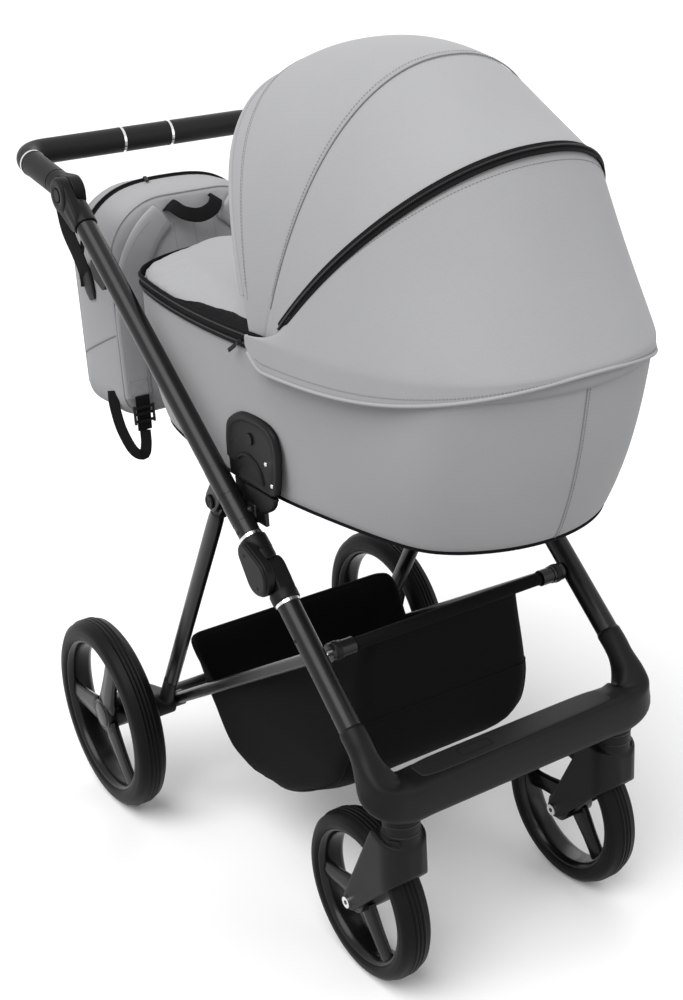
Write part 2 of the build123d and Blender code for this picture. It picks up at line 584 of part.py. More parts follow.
def make_castors():
    crown_z = FRONT_WHEEL_DIA - 6
    arm_in = FRONT_WHEEL_WIDTH / 2 + FORK_GAP
    arm_out = arm_in + FORK_ARM
    cheek = Pos(*FRONT_AXLE) * Circle(FORK_EYE_R)
    for ahead, above, r in FORK_CORNERS:
        cheek += Pos(CASTOR_X + ahead, crown_z + above) * Circle(r)
    fork = plate(make_hull(cheek.edges()), FRONT_Y - arm_out, FRONT_Y + arm_out)
    sides = fork.faces().sort_by(Axis.Y)
    fork = fillet(sides[0].edges() + sides[-1].edges(), FORK_EDGE)
    nose_x = CASTOR_X - FORK_NOSE
    nose = Pos(nose_x, FRONT_Y) * Circle(arm_out)
    nose += Pos(nose_x - FRONT_WHEEL_DIA / 2, FRONT_Y) * Rectangle(FRONT_WHEEL_DIA, 2 * arm_out)
    fork &= extrude(nose, amount=FOOT_BASE_Z)
    fork -= cross_rod(FRONT_AXLE, FRONT_Y - arm_in, FRONT_Y + arm_in, FRONT_WHEEL_DIA / 2 + FORK_GAP)
    fork += rod((CASTOR_X, FRONT_Y, crown_z), (CASTOR_X, FRONT_Y, FOOT_BASE_Z - LANE_GAP), COLLAR_R)
    spindle_top = (CASTOR_X, FRONT_Y, FOOT_BASE_Z + SPINDLE_RISE)
    fork += rod((CASTOR_X, FRONT_Y, FOOT_BASE_Z - 2), spindle_top, SPINDLE_R)
    fork -= cross_rod(FRONT_AXLE, FRONT_Y - 60, FRONT_Y + 60, FRONT_AXLE_R + RUN_FIT)
    add_sides("castor_fork", fork)

    axle = cross_rod(FRONT_AXLE, FRONT_Y - arm_out, FRONT_Y + arm_out, FRONT_AXLE_R)
    for y0 in (-arm_out - 4, arm_out):
        axle += cross_rod(FRONT_AXLE, FRONT_Y + y0, FRONT_Y + y0 + 4, FRONT_AXLE_R + 3)
    add_sides("front_axle", axle)


def hood_section(section, inset=0.0):
    """Half of a hood section: its half width, haunch, shoulder and crown as (y, r) points."""
    half = section[1] - inset
    radius = section[2] - inset
    shoulder = (half * section[3], radius * section[4])
    return half, (half * 0.94, radius * 0.53), shoulder, (0.0, radius)


def hood_outline(section, inset, inner_r):
    half, haunch, shoulder, crown = hood_section(section, inset)
    side = Line((half, inner_r), (half, HOOD_SIDE_R))
    rise = ThreePointArc((half, HOOD_SIDE_R), haunch, shoulder)
    left = Curve() + [side, rise]
    top = ThreePointArc(shoulder, crown, (-shoulder[0], shoulder[1]))
    right = mirror(left, about=Plane.YZ)
    foot = Line((-half, inner_r), (half, inner_r))
    return make_face([*left.edges(), top.edge(), *right.edges(), foot.edge()])


def hood_plane(angle):
    """The plane through the pivot axis at an angle up from the front, with x along the axis."""
    radial = Vector(cos(radians(angle)), 0, sin(radians(angle)))
    origin = (HOOD_PIVOT[0], 0, HOOD_PIVOT[1])
    return Plane(origin=origin, x_dir=(0, 1, 0), z_dir=Vector(0, 1, 0).cross(radial))


def hood_block(sections, inset, inner_r):
    """A filled piece of the hood through its sections."""
    return loft([hood_plane(s[0]) * hood_outline(s, inset, inner_r) for s in sections])


def hood_shell(sections, inset=0.0, thick=HOOD_SHELL, inner_r=HOOD_FOOT_R):
    return hood_block(sections, inset, inner_r) - hood_block(sections, inset + thick, inner_r - 1)


def add_bosses(shell, half):
    """A round boss at each foot of a hood piece, bored for the pivot pin."""
    for y0 in (half - HOOD_SHELL, -half):
        shell += cross_rod(HOOD_PIVOT, y0, y0 + HOOD_SHELL, HOOD_BOSS_R)
    return shell - cross_rod(HOOD_PIVOT, -HOOD_HALF - 5, HOOD_HALF + 5, HOOD_PIN_R + SEAT)


def make_hood():
    back = hood_shell(HOOD_BACK)
    hem = HOOD_BACK[0]
    band = hood_outline(hem, 0.0, HOOD_FOOT_R) - hood_outline(hem, HOOD_SHELL, HOOD_FOOT_R - 1)
    back += extrude(hood_plane(0) * band, amount=HOOD_PIVOT[1] - HOOD_HEM_Z, dir=(0, 0, -1))
    nodes["hood_back"] = add_bosses(back, HOOD_HALF)
    nodes["hood_mid"] = add_bosses(hood_shell(HOOD_MID), HOOD_MID[0][1])
    nodes["hood_front"] = add_bosses(hood_shell(HOOD_FRONT), HOOD_FRONT[0][1])
    rim = HOOD_FRONT[-1]
    bow = []
    for back_off in (1 + BOW_ANGLE, 1 + BOW_ANGLE / 2, 1):
        bow.append((rim[0] - back_off, rim[1], rim[2] - BOW_RISE * back_off, *rim[3:]))
    nodes["hood_rim_bow"] = hood_shell(bow, HOOD_SHELL + BOW_SEAT, BOW_DEPTH, BOW_FOOT_R)

    ear_out = HOOD_FRONT[0][1] - HOOD_SHELL - LANE_GAP
    ear_in = ear_out - 8
    ear = polygon([(HOOD_PIVOT[0] - 16, TUB_RIM_Z + SEAT), (HOOD_PIVOT[0] + 16, TUB_RIM_Z + SEAT),
                   (HOOD_PIVOT[0] + 10, HOOD_PIVOT[1] + 11), (HOOD_PIVOT[0] - 10, HOOD_PIVOT[1] + 11)], 4)
    pivot = plate(ear, ear_in, ear_out) + cross_rod(HOOD_PIVOT, ear_in, HOOD_HALF, HOOD_PIN_R)
    add_pair("hood_pivots", pivot)


def plan_outline(front_x, corner, waist, rear_corner, rear_x, inset=0.0):
    """A closed plan outline of four arcs: front, left, rear and right."""
    cx, cy = corner[0] - 0.7 * inset, corner[1] - 0.7 * inset
    rx, ry = rear_corner[0] + 0.6 * inset, rear_corner[1] - 0.8 * inset
    front = ThreePointArc((cx, -cy), (front_x - inset, 0), (cx, cy))
    left = ThreePointArc((cx, cy), (waist[0], waist[1] - inset), (rx, ry))
    rear = ThreePointArc((rx, ry), (rear_x + inset, 0), (rx, -ry))
    right = ThreePointArc((rx, -ry), (waist[0], inset - waist[1]), (cx, -cy))
    return make_face([front, left, rear, right])


def rim_outline(inset=0.0):
    half, haunch, shoulder, crown = hood_section(HOOD_BACK[0], HOOD_SHELL + RIM_GAP)
    corner = (HOOD_PIVOT[0] + shoulder[1], shoulder[0])
    return plan_outline(HOOD_PIVOT[0] + crown[1], corner, RIM_WAIST, RIM_REAR_CORNER, TUB_REAR_X, inset)


def base_outline(inset=0.0):
    return plan_outline(BASE_FRONT_X, BASE_CORNER, BASE_WAIST, BASE_REAR_CORNER, BASE_REAR_X, inset)


def tub_block(inset, z0, z1):
    return loft([Pos(0, 0, z0) * base_outline(inset), Pos(0, 0, z1) * rim_outline(inset)], ruled=True)


def make_bassinet():
    outer = tub_block(0.0, TUB_BASE_Z, TUB_RIM_Z)
    nodes["bassinet_tub"] = outer - tub_block(TUB_WALL, TUB_BASE_Z + TUB_WALL, TUB_RIM_Z + 0.01)

    pad = Pos(0, 0, TUB_BASE_Z + TUB_WALL + SOFT_GAP) * base_outline(TUB_WALL + 4)
    nodes["mattress"] = extrude(pad, amount=MATTRESS_THICK)

    apron_top = TUB_RIM_Z + APRON_THICK
    sheet = extrude(Pos(0, 0, TUB_RIM_Z + SOFT_GAP) * rim_outline(), amount=APRON_THICK + 5)
    crown_z = apron_top - APRON_CROWN_R
    sheet &= rod((TUB_REAR_X - 300, 0, crown_z), (APRON_FRONT_X, 0, crown_z), APRON_CROWN_R)
    nodes["apron"] = sheet

    seat = upper(ADAPTER_AT)
    centre = (seat[0] + 18, TUB_BASE_Z + 70)
    half = BRACKET_HALF
    low = TUB_BASE_Z + 20
    arch = Pos(*centre) * Circle(half) + Pos(centre[0], low + 10) * Rectangle(2 * half, 20)
    bracket = plate(make_hull(arch.edges()), LUG_IN_Y - 12, BRACKET_FACE_Y)
    bracket -= tub_block(-SEAT, TUB_BASE_Z - 0.01, TUB_RIM_Z)
    bracket -= lug_box(seat, low - 20, LUG_TOP_Z + LANE_GAP, LANE_GAP)
    release = (centre[0], centre[1] + 14)
    bracket -= cross_rod(release, BRACKET_FACE_Y - 5.5, BRACKET_FACE_Y + 5, RELEASE_R + SEAT)
    add_pair("tub_brackets", bracket)
    button = cross_rod(release, BRACKET_FACE_Y - 3, BRACKET_FACE_Y + RELEASE_TRAVEL, RELEASE_R)
    add_sides("adapter_button", button)


def make_bag():
    height = BAG_TOP_Z - BAG_BASE_Z
    centre_z = (BAG_TOP_Z + BAG_BASE_Z) / 2
    outline = Rectangle(2 * BAG_HALF, height)
    top = outline.vertices().group_by(Axis.Y)[-1]
    outline = fillet(top, BAG_ARCH)
    outline = fillet(outline.vertices().group_by(Axis.Y)[0], BAG_ROUND)
    back = Plane(origin=(BAG_FRONT_X - BAG_DEPTH, 0, centre_z), x_dir=(0, 1, 0), z_dir=(1, 0, 0))
    body = extrude(back * outline, amount=BAG_DEPTH)
    rims = body.faces().sort_by(Axis.X)
    nodes["bag"] = fillet(rims[0].edges() + rims[-1].edges(), BAG_EDGE)

    top_end = Vector(HANDLE_PIVOT[0] - 6, (HUB_SPLIT_Y + HUB_OUT_Y) / 2, HANDLE_PIVOT[1] - HUB_R + 6)
    low_end = Vector(BAG_FRONT_X - BAG_DEPTH / 2, BAG_HALF + STRAP_THICK / 2 + SEAT, BAG_STRAP_Z)
    run = low_end - top_end
    section = Plane(origin=top_end, x_dir=run.cross(Vector(0, 1, 0)), z_dir=run)
    hanger = extrude(section * Rectangle(STRAP_WIDTH, STRAP_THICK), amount=run.length)
    hanger -= round_plate(HANDLE_PIVOT, HUB_R + SEAT, upper(48), SLEEVE_R, HUB_IN_Y - 10, HUB_OUT_Y + 10)
    add_pair("bag_hanger_straps", hanger)

    strap_top = BAG_TOP_Z - BAG_EDGE - 50
    strap_low = BAG_BASE_Z + BAG_EDGE + 20
    strap = Pos(BAG_FRONT_X + SHOULDER_THICK / 2 + SEAT, SHOULDER_Y, (strap_top + strap_low) / 2) * Box(
        SHOULDER_THICK, SHOULDER_WIDTH, strap_top - strap_low)
    add_pair("bag_shoulder_straps", fillet(strap.edges().filter_by(Axis.Z), SHOULDER_THICK / 2 - 1))


make_upper_frame()
make_handle()
make_front_frame()
make_footrest()
make_basket()
make_rear_frame()
make_side_links()
make_wheels()
make_castors()
make_bassinet()
make_hood()
make_bag()

os.makedirs("parts", exist_ok=True)
for name, shape in nodes.items():
    export_step(Pos(-ORIGIN_X, 0, 0) * Compound(shape.solids()), f"parts/{name}.step")
print(len(nodes), "nodes")
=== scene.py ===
"""Looks of a folding pram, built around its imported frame."""
import json
import math

import bmesh
import bpy
import numpy as np
from mathutils import Matrix, Vector
from mathutils.bvhtree import BVHTree


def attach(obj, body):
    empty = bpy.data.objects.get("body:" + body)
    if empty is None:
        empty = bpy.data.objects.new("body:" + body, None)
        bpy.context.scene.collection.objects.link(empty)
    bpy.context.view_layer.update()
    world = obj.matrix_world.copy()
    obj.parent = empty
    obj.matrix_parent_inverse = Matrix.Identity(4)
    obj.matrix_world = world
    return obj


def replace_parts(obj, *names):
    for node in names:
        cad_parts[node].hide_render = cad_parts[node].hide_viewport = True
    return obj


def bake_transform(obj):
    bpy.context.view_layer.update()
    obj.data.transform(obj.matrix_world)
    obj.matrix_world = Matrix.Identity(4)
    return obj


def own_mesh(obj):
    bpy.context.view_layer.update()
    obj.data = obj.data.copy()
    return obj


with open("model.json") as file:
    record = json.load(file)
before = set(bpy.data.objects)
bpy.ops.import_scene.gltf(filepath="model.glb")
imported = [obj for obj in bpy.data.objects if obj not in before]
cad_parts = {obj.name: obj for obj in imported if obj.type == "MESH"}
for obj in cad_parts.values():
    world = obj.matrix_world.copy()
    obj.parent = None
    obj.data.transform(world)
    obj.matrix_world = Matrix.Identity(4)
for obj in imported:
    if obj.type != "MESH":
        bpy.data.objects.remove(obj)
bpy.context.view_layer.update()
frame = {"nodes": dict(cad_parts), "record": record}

MM = 0.001
ORIGIN_X = 293.5


def P(x, y, z):
    """A point given in millimetres, with x from the rear axle, as a place in the scene."""
    return Vector(((x - ORIGIN_X) * MM, y * MM, z * MM))


def beside(place, y):
    """The point at a side place (x, z) and across at y."""
    return P(place[0], y, place[1])


# Layout, in millimetres, as in the solids
HANDLE_PIVOT = (-45.0, 955.0)
UPPER_SLOPE = math.radians(39.2)
UPPER_LENGTH = 652.0
LEG_SLOPE = math.radians(42.5)
UPPER_Y = 210.0
HOOD_PIVOT = (488.0, 852.0)
REAR_AXLE = (0.0, 152.5)
FRONT_AXLE = (590.0, 116.5)
REAR_Y = 263.0
FRONT_Y = 173.0
CASTOR_X = 675.0
TUB_RIM_Z = 840.0
TUB_BASE_Z = 620.0
SIDES = (("left", 1), ("right", -1))


def upper(s, drop=0.0):
    """A place (x, z) down the upper tube from the handle's pivot, and under it by the drop."""
    c, n = math.cos(UPPER_SLOPE), math.sin(UPPER_SLOPE)
    return (HANDLE_PIVOT[0] + s * c - drop * n, HANDLE_PIVOT[1] - s * n - drop * c)


FOLD = upper(UPPER_LENGTH)


def lower(s):
    """A place (x, z) down the front leg from the fold."""
    return (FOLD[0] + s * math.cos(LEG_SLOPE), FOLD[1] - s * math.sin(LEG_SLOPE))


LINK_FRONT = lower(124.6)
LEG_PIVOT = upper(UPPER_LENGTH - 141.0, 41.7)

# Materials


def start_material(name):
    m = bpy.data.materials.new(name)
    m.use_nodes = True
    nt = m.node_tree
    nt.nodes.clear()
    out = nt.nodes.new("ShaderNodeOutputMaterial")
    shader = nt.nodes.new("ShaderNodeBsdfPrincipled")
    nt.links.new(shader.outputs[0], out.inputs[0])
    place = nt.nodes.new("ShaderNodeTexCoord").outputs["Object"]
    return m, nt, shader, place


def add_node(nt, kind, links, values):
    """A shader node with some sockets linked and some set."""
    node = nt.nodes.new("ShaderNode" + kind)
    for socket, value in values.items():
        node.inputs[socket].default_value = value
    for socket, output in links.items():
        nt.links.new(output, node.inputs[socket])
    return node


def noise(nt, place, scale, detail, rough):
    values = {"Scale": scale, "Detail": detail, "Roughness": rough}
    return add_node(nt, "TexNoise", {"Vector": place}, values).outputs["Fac"]


def waves(nt, place, period_mm, direction):
    values = {"Scale": 0.314 / (period_mm * MM), "Distortion": 0.6, "Detail": 1.0}
    w = add_node(nt, "TexWave", {"Vector": place}, values)
    w.wave_type = "BANDS"
    w.bands_direction = direction
    return w.outputs["Fac"]


def maths(nt, op, a, b):
    pair = {0: a, 1: b}
    set_to = {k: v for k, v in pair.items() if isinstance(v, (int, float))}
    m = add_node(nt, "Math", {k: v for k, v in pair.items() if k not in set_to}, set_to)
    m.operation = op
    return m.outputs[0]


def tint(nt, shader, fac, low, high, c0, c1):
    """Colours a shader by a factor, from one colour at its low mark to another at its high mark."""
    r = add_node(nt, "ValToRGB", {0: fac}, {})
    for end, place, colour in zip(r.color_ramp.elements, (low, high), (c0, c1)):
        end.position = place
        end.color = (*colour, 1)
    nt.links.new(r.outputs[0], shader.inputs["Base Color"])


def roughen(nt, shader, fac, low, high):
    m = add_node(nt, "MapRange", {"Value": fac}, {"To Min": low, "To Max": high})
    nt.links.new(m.outputs[0], shader.inputs["Roughness"])


def bump(nt, shader, height, strength, distance_mm):
    b = add_node(nt, "Bump", {"Height": height}, {"Strength": strength, "Distance": distance_mm * MM})
    nt.links.new(b.outputs[0], shader.inputs["Normal"])


def shade(c, k):
    return tuple(min(1.0, v * k) for v in c)


def cloth_material(name, colour, spread_by, weave_mm, weave, rough, sheen, gloss=0.25):
    """Woven cloth: a fine melange, slow blotches, and crossing threads in the bump."""
    m, nt, shader, place = start_material(name)
    fine = noise(nt, place, 900, 3, 0.6)
    slow = noise(nt, place, 9, 3, 0.5)
    both = maths(nt, "ADD", maths(nt, "MULTIPLY", fine, 0.72), maths(nt, "MULTIPLY", slow, 0.28))
    tint(nt, shader, both, 0.3, 0.7, shade(colour, 1 - spread_by), shade(colour, 1 + spread_by))
    across = maths(nt, "ADD", waves(nt, place, weave_mm, "X"), waves(nt, place, weave_mm, "Z"))
    threads = maths(nt, "ADD", across, waves(nt, place, weave_mm, "Y"))
    height = maths(nt, "ADD", maths(nt, "MULTIPLY", threads, 0.33), maths(nt, "MULTIPLY", fine, 0.6))
    bump(nt, shader, height, weave, 0.35)
    roughen(nt, shader, fine, rough - 0.06, rough + 0.06)
    shader.inputs["Sheen Weight"].default_value = sheen
    shader.inputs["Sheen Roughness"].default_value = 0.5
    shader.inputs["Specular IOR Level"].default_value = gloss
    return m


def moulded_material(name, colour, rough, grain_mm, grain, gloss):
    """Moulded or coated black: a fine grain, faint wear, and an uneven gloss."""
    m, nt, shader, place = start_material(name)
    fine = noise(nt, place, 1 / (grain_mm * MM), 2, 0.55)
    slow = noise(nt, place, 22, 4, 0.6)
    tint(nt, shader, slow, 0.25, 0.75, shade(colour, 0.82), shade(colour, 1.2))
    roughen(nt, shader, slow, rough - 0.07, rough + 0.07)
    bump(nt, shader, fine, grain, 0.12)
    shader.inputs["Specular IOR Level"].default_value = gloss
    return m


def bright_material(name, colour, rough):
    m, nt, shader, place = start_material(name)
    slow = noise(nt, place, 160, 3, 0.6)
    tint(nt, shader, slow, 0.3, 0.7, shade(colour, 0.94), shade(colour, 1.03))
    roughen(nt, shader, slow, rough * 0.7, rough * 1.4)
    shader.inputs["Metallic"].default_value = 1.0
    return m


def leather_material(name, colour, pits_per_m):
    """Perforated imitation leather: rows of small pits over a pebbled grain, with painted shade darkening
    each pit.
    """
    m, nt, shader, place = start_material(name)
    cells = add_node(nt, "TexVoronoi", {"Vector": place}, {"Scale": pits_per_m, "Randomness": 0.15})
    far = cells.outputs["Distance"]
    pits = maths(nt, "GREATER_THAN", far, 0.3)
    grain = noise(nt, place, 1400, 3, 0.6)
    height = maths(nt, "ADD", pits, maths(nt, "MULTIPLY", grain, 0.35))
    bump(nt, shader, height, 0.5, 0.4)
    # painted shade: the colour darkens towards each pit's centre, standing in for the shade inside the hollow
    tint(nt, shader, far, 0.12, 0.42, shade(colour, 0.35), shade(colour, 1.1))
    roughen(nt, shader, grain, 0.42, 0.6)
    shader.inputs["Specular IOR Level"].default_value = 0.22
    return m


GREY = (0.372, 0.374, 0.382)
MATS = {}
for kind, name, *looks in (
    (moulded_material, "frame_black", (0.006, 0.006, 0.0064), 0.3, 0.5, 0.06, 0.28),
    (moulded_material, "plastic_black", (0.006, 0.006, 0.0064), 0.46, 0.9, 0.16, 0.15),
    (moulded_material, "rim_black", (0.004, 0.004, 0.0043), 0.24, 0.8, 0.06, 0.24),
    (moulded_material, "tyre_black", (0.004, 0.004, 0.004), 0.46, 1.2, 0.2, 0.1),
    (leather_material, "tread_rubber", (0.011, 0.011, 0.0115), 260),
    (bright_material, "bright_steel", (0.8, 0.8, 0.81), 0.16),
    (leather_material, "grip_leather", (0.009, 0.009, 0.0095), 320),
    (cloth_material, "grey_cloth", GREY, 0.06, 1.3, 0.2, 0.82, 0.12),
    (cloth_material, "black_cloth", (0.004, 0.004, 0.0043), 0.25, 1.6, 0.3, 0.85, 0.0, 0.1),
    (cloth_material, "mattress_cloth", (0.72, 0.72, 0.7), 0.05, 2.0, 0.3, 0.88, 0.1),
    (cloth_material, "webbing", (0.005, 0.005, 0.0054), 0.3, 2.2, 0.6, 0.75, 0.0, 0.12),
    (cloth_material, "lining", (0.36, 0.362, 0.37), 0.05, 1.2, 0.2, 0.85, 0.1),
    (cloth_material, "grey_thread", (0.25, 0.252, 0.258), 0.05, 0.8, 0.3, 0.7, 0.1),
    (cloth_material, "black_thread", (0.03, 0.03, 0.032), 0.1, 0.8, 0.3, 0.6, 0.1),
):
    MATS[name] = kind(name, *looks)

for part in frame["record"]["subparts"]:
    node = frame["nodes"][part["node"]]
    node.data.materials.clear()
    node.data.materials.append(MATS[part["material_slot"]])

# Mesh helpers


def make_object(name, points, faces, mat, body=None, smooth=True):
    mesh = bpy.data.meshes.new(name)
    mesh.from_pydata([tuple(p) for p in points], [], faces)
    mesh.update()
    obj = bpy.data.objects.new(name, mesh)
    bpy.context.scene.collection.objects.link(obj)
    mesh.materials.append(MATS[mat])
    if smooth:
        mesh.polygons.foreach_set("use_smooth", [True] * len(mesh.polygons))
    if body:
        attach(obj, body)
    return obj


def grid_faces(rows, cols, wrap_rows=False, wrap_cols=False):
    faces = []
    for i in range(rows if wrap_rows else rows - 1):
        for j in range(cols if wrap_cols else cols - 1):
            a, b = i * cols + j, i * cols + (j + 1) % cols
            c, d = ((i + 1) % rows) * cols + (j + 1) % cols, ((i + 1) % rows) * cols + j
            faces.append((a, b, c, d))
    return faces


def grid_object(name, rows, mat, body=None, wrap_rows=False, wrap_cols=False, caps=False):
    """A sheet through rows of points, closed either way if asked."""
    cols = len(rows[0])
    points = [p for row in rows for p in row]
    faces = grid_faces(len(rows), cols, wrap_rows, wrap_cols)
    if caps:
        faces.append(tuple(reversed(range(cols))))
        last = (len(rows) - 1) * cols
        faces.append(tuple(last + j for j in range(cols)))
    return make_object(name, points, faces, mat, body)


def closed_piece(name, rows, mat, body):
    """A closed shell through rows of points, capped at both ends."""
    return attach(clean_normals(grid_object(name, rows, mat, wrap_cols=True, caps=True)), body)


def flat_ended(name, rows, mat, body):
    """A closed shell whose end faces stay flat."""
    piece = closed_piece(name, rows, mat, body)
    for f in piece.data.polygons:
        f.use_smooth = len(f.vertices) == 4
    return piece


def modify(obj, kind, **values):
    mod = obj.modifiers.new(kind.lower(), kind)
    for key, value in values.items():
        setattr(mod, key, value)
    return mod


def bake_modifiers(obj):
    """Keeps the mesh as its modifiers leave it."""
    deps = bpy.context.evaluated_depsgraph_get()
    mesh = bpy.data.meshes.new_from_object(obj.evaluated_get(deps))
    obj.modifiers.clear()
    obj.data = mesh
    return obj


def clean_normals(obj):
    bm = bmesh.new()
    bm.from_mesh(obj.data)
    bmesh.ops.remove_doubles(bm, verts=bm.verts, dist=1e-6)
    bmesh.ops.recalc_face_normals(bm, faces=bm.faces)
    bm.to_mesh(obj.data)
    bm.free()
    return obj


def thicken(sheet, thick_mm, rounds=0, **how):
    """Gives a sheet its thickness, and rounds it off if asked."""
    clean_normals(sheet)
    modify(sheet, "SOLIDIFY", thickness=thick_mm * MM, **how)
    if rounds:
        modify(sheet, "SUBSURF", levels=rounds, render_levels=rounds)
    return smooth_shade(bake_modifiers(sheet))


def resample(points, step, closed=False):
    """Points about a step apart along a line."""
    pts = np.array([tuple(p) for p in points], float)
    if closed:
        pts = np.vstack([pts, pts[:1]])
    seg = np.linalg.norm(np.diff(pts, axis=0), axis=1)
    s = np.concatenate([[0], np.cumsum(seg)])
    n = max(2, int(round(s[-1] / step)))
    at = np.linspace(0, s[-1], n + 1)
    if closed:
        at = at[:-1]
    return np.stack([np.interp(at, s, pts[:, k]) for k in range(3)], 1)


def frames(points, closed, hint):
    """Tangent, side and lift directions along a line, the lift kept near the hints."""
    p = np.asarray(points, float)
    if closed:
        tan = np.roll(p, -1, 0) - np.roll(p, 1, 0)
    else:
        tan = np.gradient(p, axis=0)
    tan /= np.linalg.norm(tan, axis=1)[:, None]
    h = np.broadcast_to(np.asarray(hint, float), p.shape)
    lift = h - (h * tan).sum(1)[:, None] * tan
    lift /= np.maximum(np.linalg.norm(lift, axis=1), 1e-9)[:, None]
    return tan, np.cross(tan, lift), lift


def sweep(name, points, section, mat, body=None, hint=(0, 0, 1), closed=False, scale=None):
    """A section, given as (side, lift) in metres, carried along a line."""
    _, side, lift = frames(points, closed, hint)
    rows = []
    for k, p in enumerate(np.asarray(points, float)):
        f = 1.0 if scale is None else scale[k]
        rows.append([Vector(p + side[k] * a * f + lift[k] * b * f) for a, b in section])
    return grid_object(name, rows, mat, body, wrap_rows=closed, wrap_cols=True, caps=not closed)


def ring_section(radius, sides=10):
    """A round section, its radius in millimetres."""
    r = radius * MM
    turn = [2 * math.pi * k / sides for k in range(sides)]
    return [(r * math.cos(a), r * math.sin(a)) for a in turn]


def flat_section(width, thick, edge=0.35):
    """A strap's section in millimetres, with its edges rounded."""
    w, t = width * MM / 2, thick * MM / 2
    e = min(w, thick * MM * edge * 2)
    return [(-w, 0), (-w + e * 0.3, t * 0.8), (-w + e, t), (w - e, t), (w - e * 0.3, t * 0.8), (w, 0),
            (w - e * 0.3, -t * 0.8), (w - e, -t), (-w + e, -t), (-w + e * 0.3, -t * 0.8)]


def stitches(name, points, lift, mat, body, pitch=4.2, length=2.7, size=0.5):
    """A row of short raised stitches along a line that lies on a surface."""
    pts = resample(points, pitch * MM)
    hints = np.asarray(lift, float)
    if hints.ndim == 1:
        hints = np.broadcast_to(hints, (len(points), 3))
    index = np.linspace(0, len(hints) - 1, len(pts)).round().astype(int)
    tan, side, up = frames(pts, False, hints[index])
    verts, faces = [], []
    for p, t, s, u in zip(pts, tan, side, up):
        base = len(verts)
        for a in (-0.5, 0.5):
            for b, c in ((-0.5, -0.6), (0.5, -0.6), (0.32, 0.5), (-0.32, 0.5)):
                verts.append(Vector(p + t * a * length * MM + s * b * size * MM + u * c * size * MM))
        for f in ((0, 1, 2, 3), (7, 6, 5, 4), (0, 4, 5, 1), (1, 5, 6, 2), (2, 6, 7, 3), (3, 7, 4, 0)):
            faces.append(tuple(base + k for k in f))
    return make_object(name, verts, faces, mat, body)


def zip_teeth(name, points, lift, body):
    """The interlocked teeth of a zip along a line."""
    return stitches(name, points, lift, "black_thread", body, pitch=2.4, length=1.5, size=4.2 * 0.55)


def lathe(name, profile, centre, axis, mat, body, sides=64):
    """A turned piece: profile as (along the axis, radius) in millimetres."""
    axis = Vector(axis).normalized()
    u = axis.orthogonal().normalized()
    v = axis.cross(u)
    rows = []
    for along, r in profile:
        row = []
        for k in range(sides):
            a = 2 * math.pi * k / sides
            row.append(centre + axis * along * MM + (u * math.cos(a) + v * math.sin(a)) * r * MM)
        rows.append(row)
    closed = profile[0] == profile[-1]
    if closed:
        rows = rows[:-1]
    obj = grid_object(name, rows, mat, wrap_rows=closed, wrap_cols=True, caps=not closed)
    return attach(clean_normals(obj), body)


def inflate(obj, voxel_mm, pressure, cap_mm, sewn=None, frames_run=20):
    """Swells a closed piece as cloth under pressure, held where it is sewn, then keeps the result."""
    modify(obj, "REMESH", mode="VOXEL", voxel_size=voxel_mm * MM)
    bake_modifiers(obj)
    start = np.array([v.co for v in obj.data.vertices])
    mod = modify(obj, "CLOTH")
    if sewn is not None:
        group = obj.vertex_groups.new(name="sewn")
        group.add([int(k) for k in np.nonzero(sewn(start))[0]], 1.0, "REPLACE")
        mod.settings.vertex_group_mass = "sewn"
    mod.settings.use_pressure = True
    mod.settings.uniform_pressure_force = pressure
    mod.settings.effector_weights.gravity = 0
    mod.settings.quality = 5
    scene = bpy.context.scene
    for f in range(1, frames_run + 1):
        scene.frame_set(f)
    deps = bpy.context.evaluated_depsgraph_get()
    moved = np.array([v.co for v in obj.evaluated_get(deps).data.vertices])
    obj.modifiers.clear()
    scene.frame_set(1)
    step = moved - start
    far = np.linalg.norm(step, axis=1)
    keep = np.minimum(1, cap_mm * MM / np.maximum(far, 1e-9))
    final = start + step * keep[:, None]
    obj.data.vertices.foreach_set("co", final.astype(np.float32).ravel())
    modify(obj, "SMOOTH", factor=0.5, iterations=2)
    modify(obj, "SUBSURF", levels=1, render_levels=1)
    bake_modifiers(obj)
    obj.vertex_groups.clear()
    return smooth_shade(obj)


def soft_copy(node, name, mat):
    """A new piece with the same mesh as a soft solid, which it will replace."""
    mesh = frame["nodes"][node].data
    points = [v.co.copy() for v in mesh.vertices]
    obj = make_object(name, points, [tuple(f.vertices) for f in mesh.polygons], mat)
    return clean_normals(obj)


def skin_of(obj):
    mesh = obj.data
    return BVHTree.FromPolygons([v.co for v in mesh.vertices], [tuple(f.vertices) for f in mesh.polygons])


def onto(skin, points, direction, lift_mm):
    """Points laid on a skin by looking along a direction, with the skin's directions there."""
    places, normals = [], []
    for p in points:
        look = Vector(direction)
        hit, normal = skin.ray_cast(Vector(p) - look * 0.3, look)[:2]
        if hit is None:
            hit, normal = skin.find_nearest(Vector(p))[:2]
        if normal.dot(look) > 0:
            normal = -normal
        places.append(hit + normal * lift_mm * MM)
        normals.append(np.array(normal))
    return places, normals


def sew(name, skin, points, direction, lift_mm, mat, body, **how):
    """A row of stitches laid on a skin."""
    places, normals = onto(skin, points, direction, lift_mm)
    stitches(name, places, normals, mat, body, **how)


def raised(places, normals, by_mm):
    return [p + Vector(n) * by_mm * MM for p, n in zip(places, normals)]


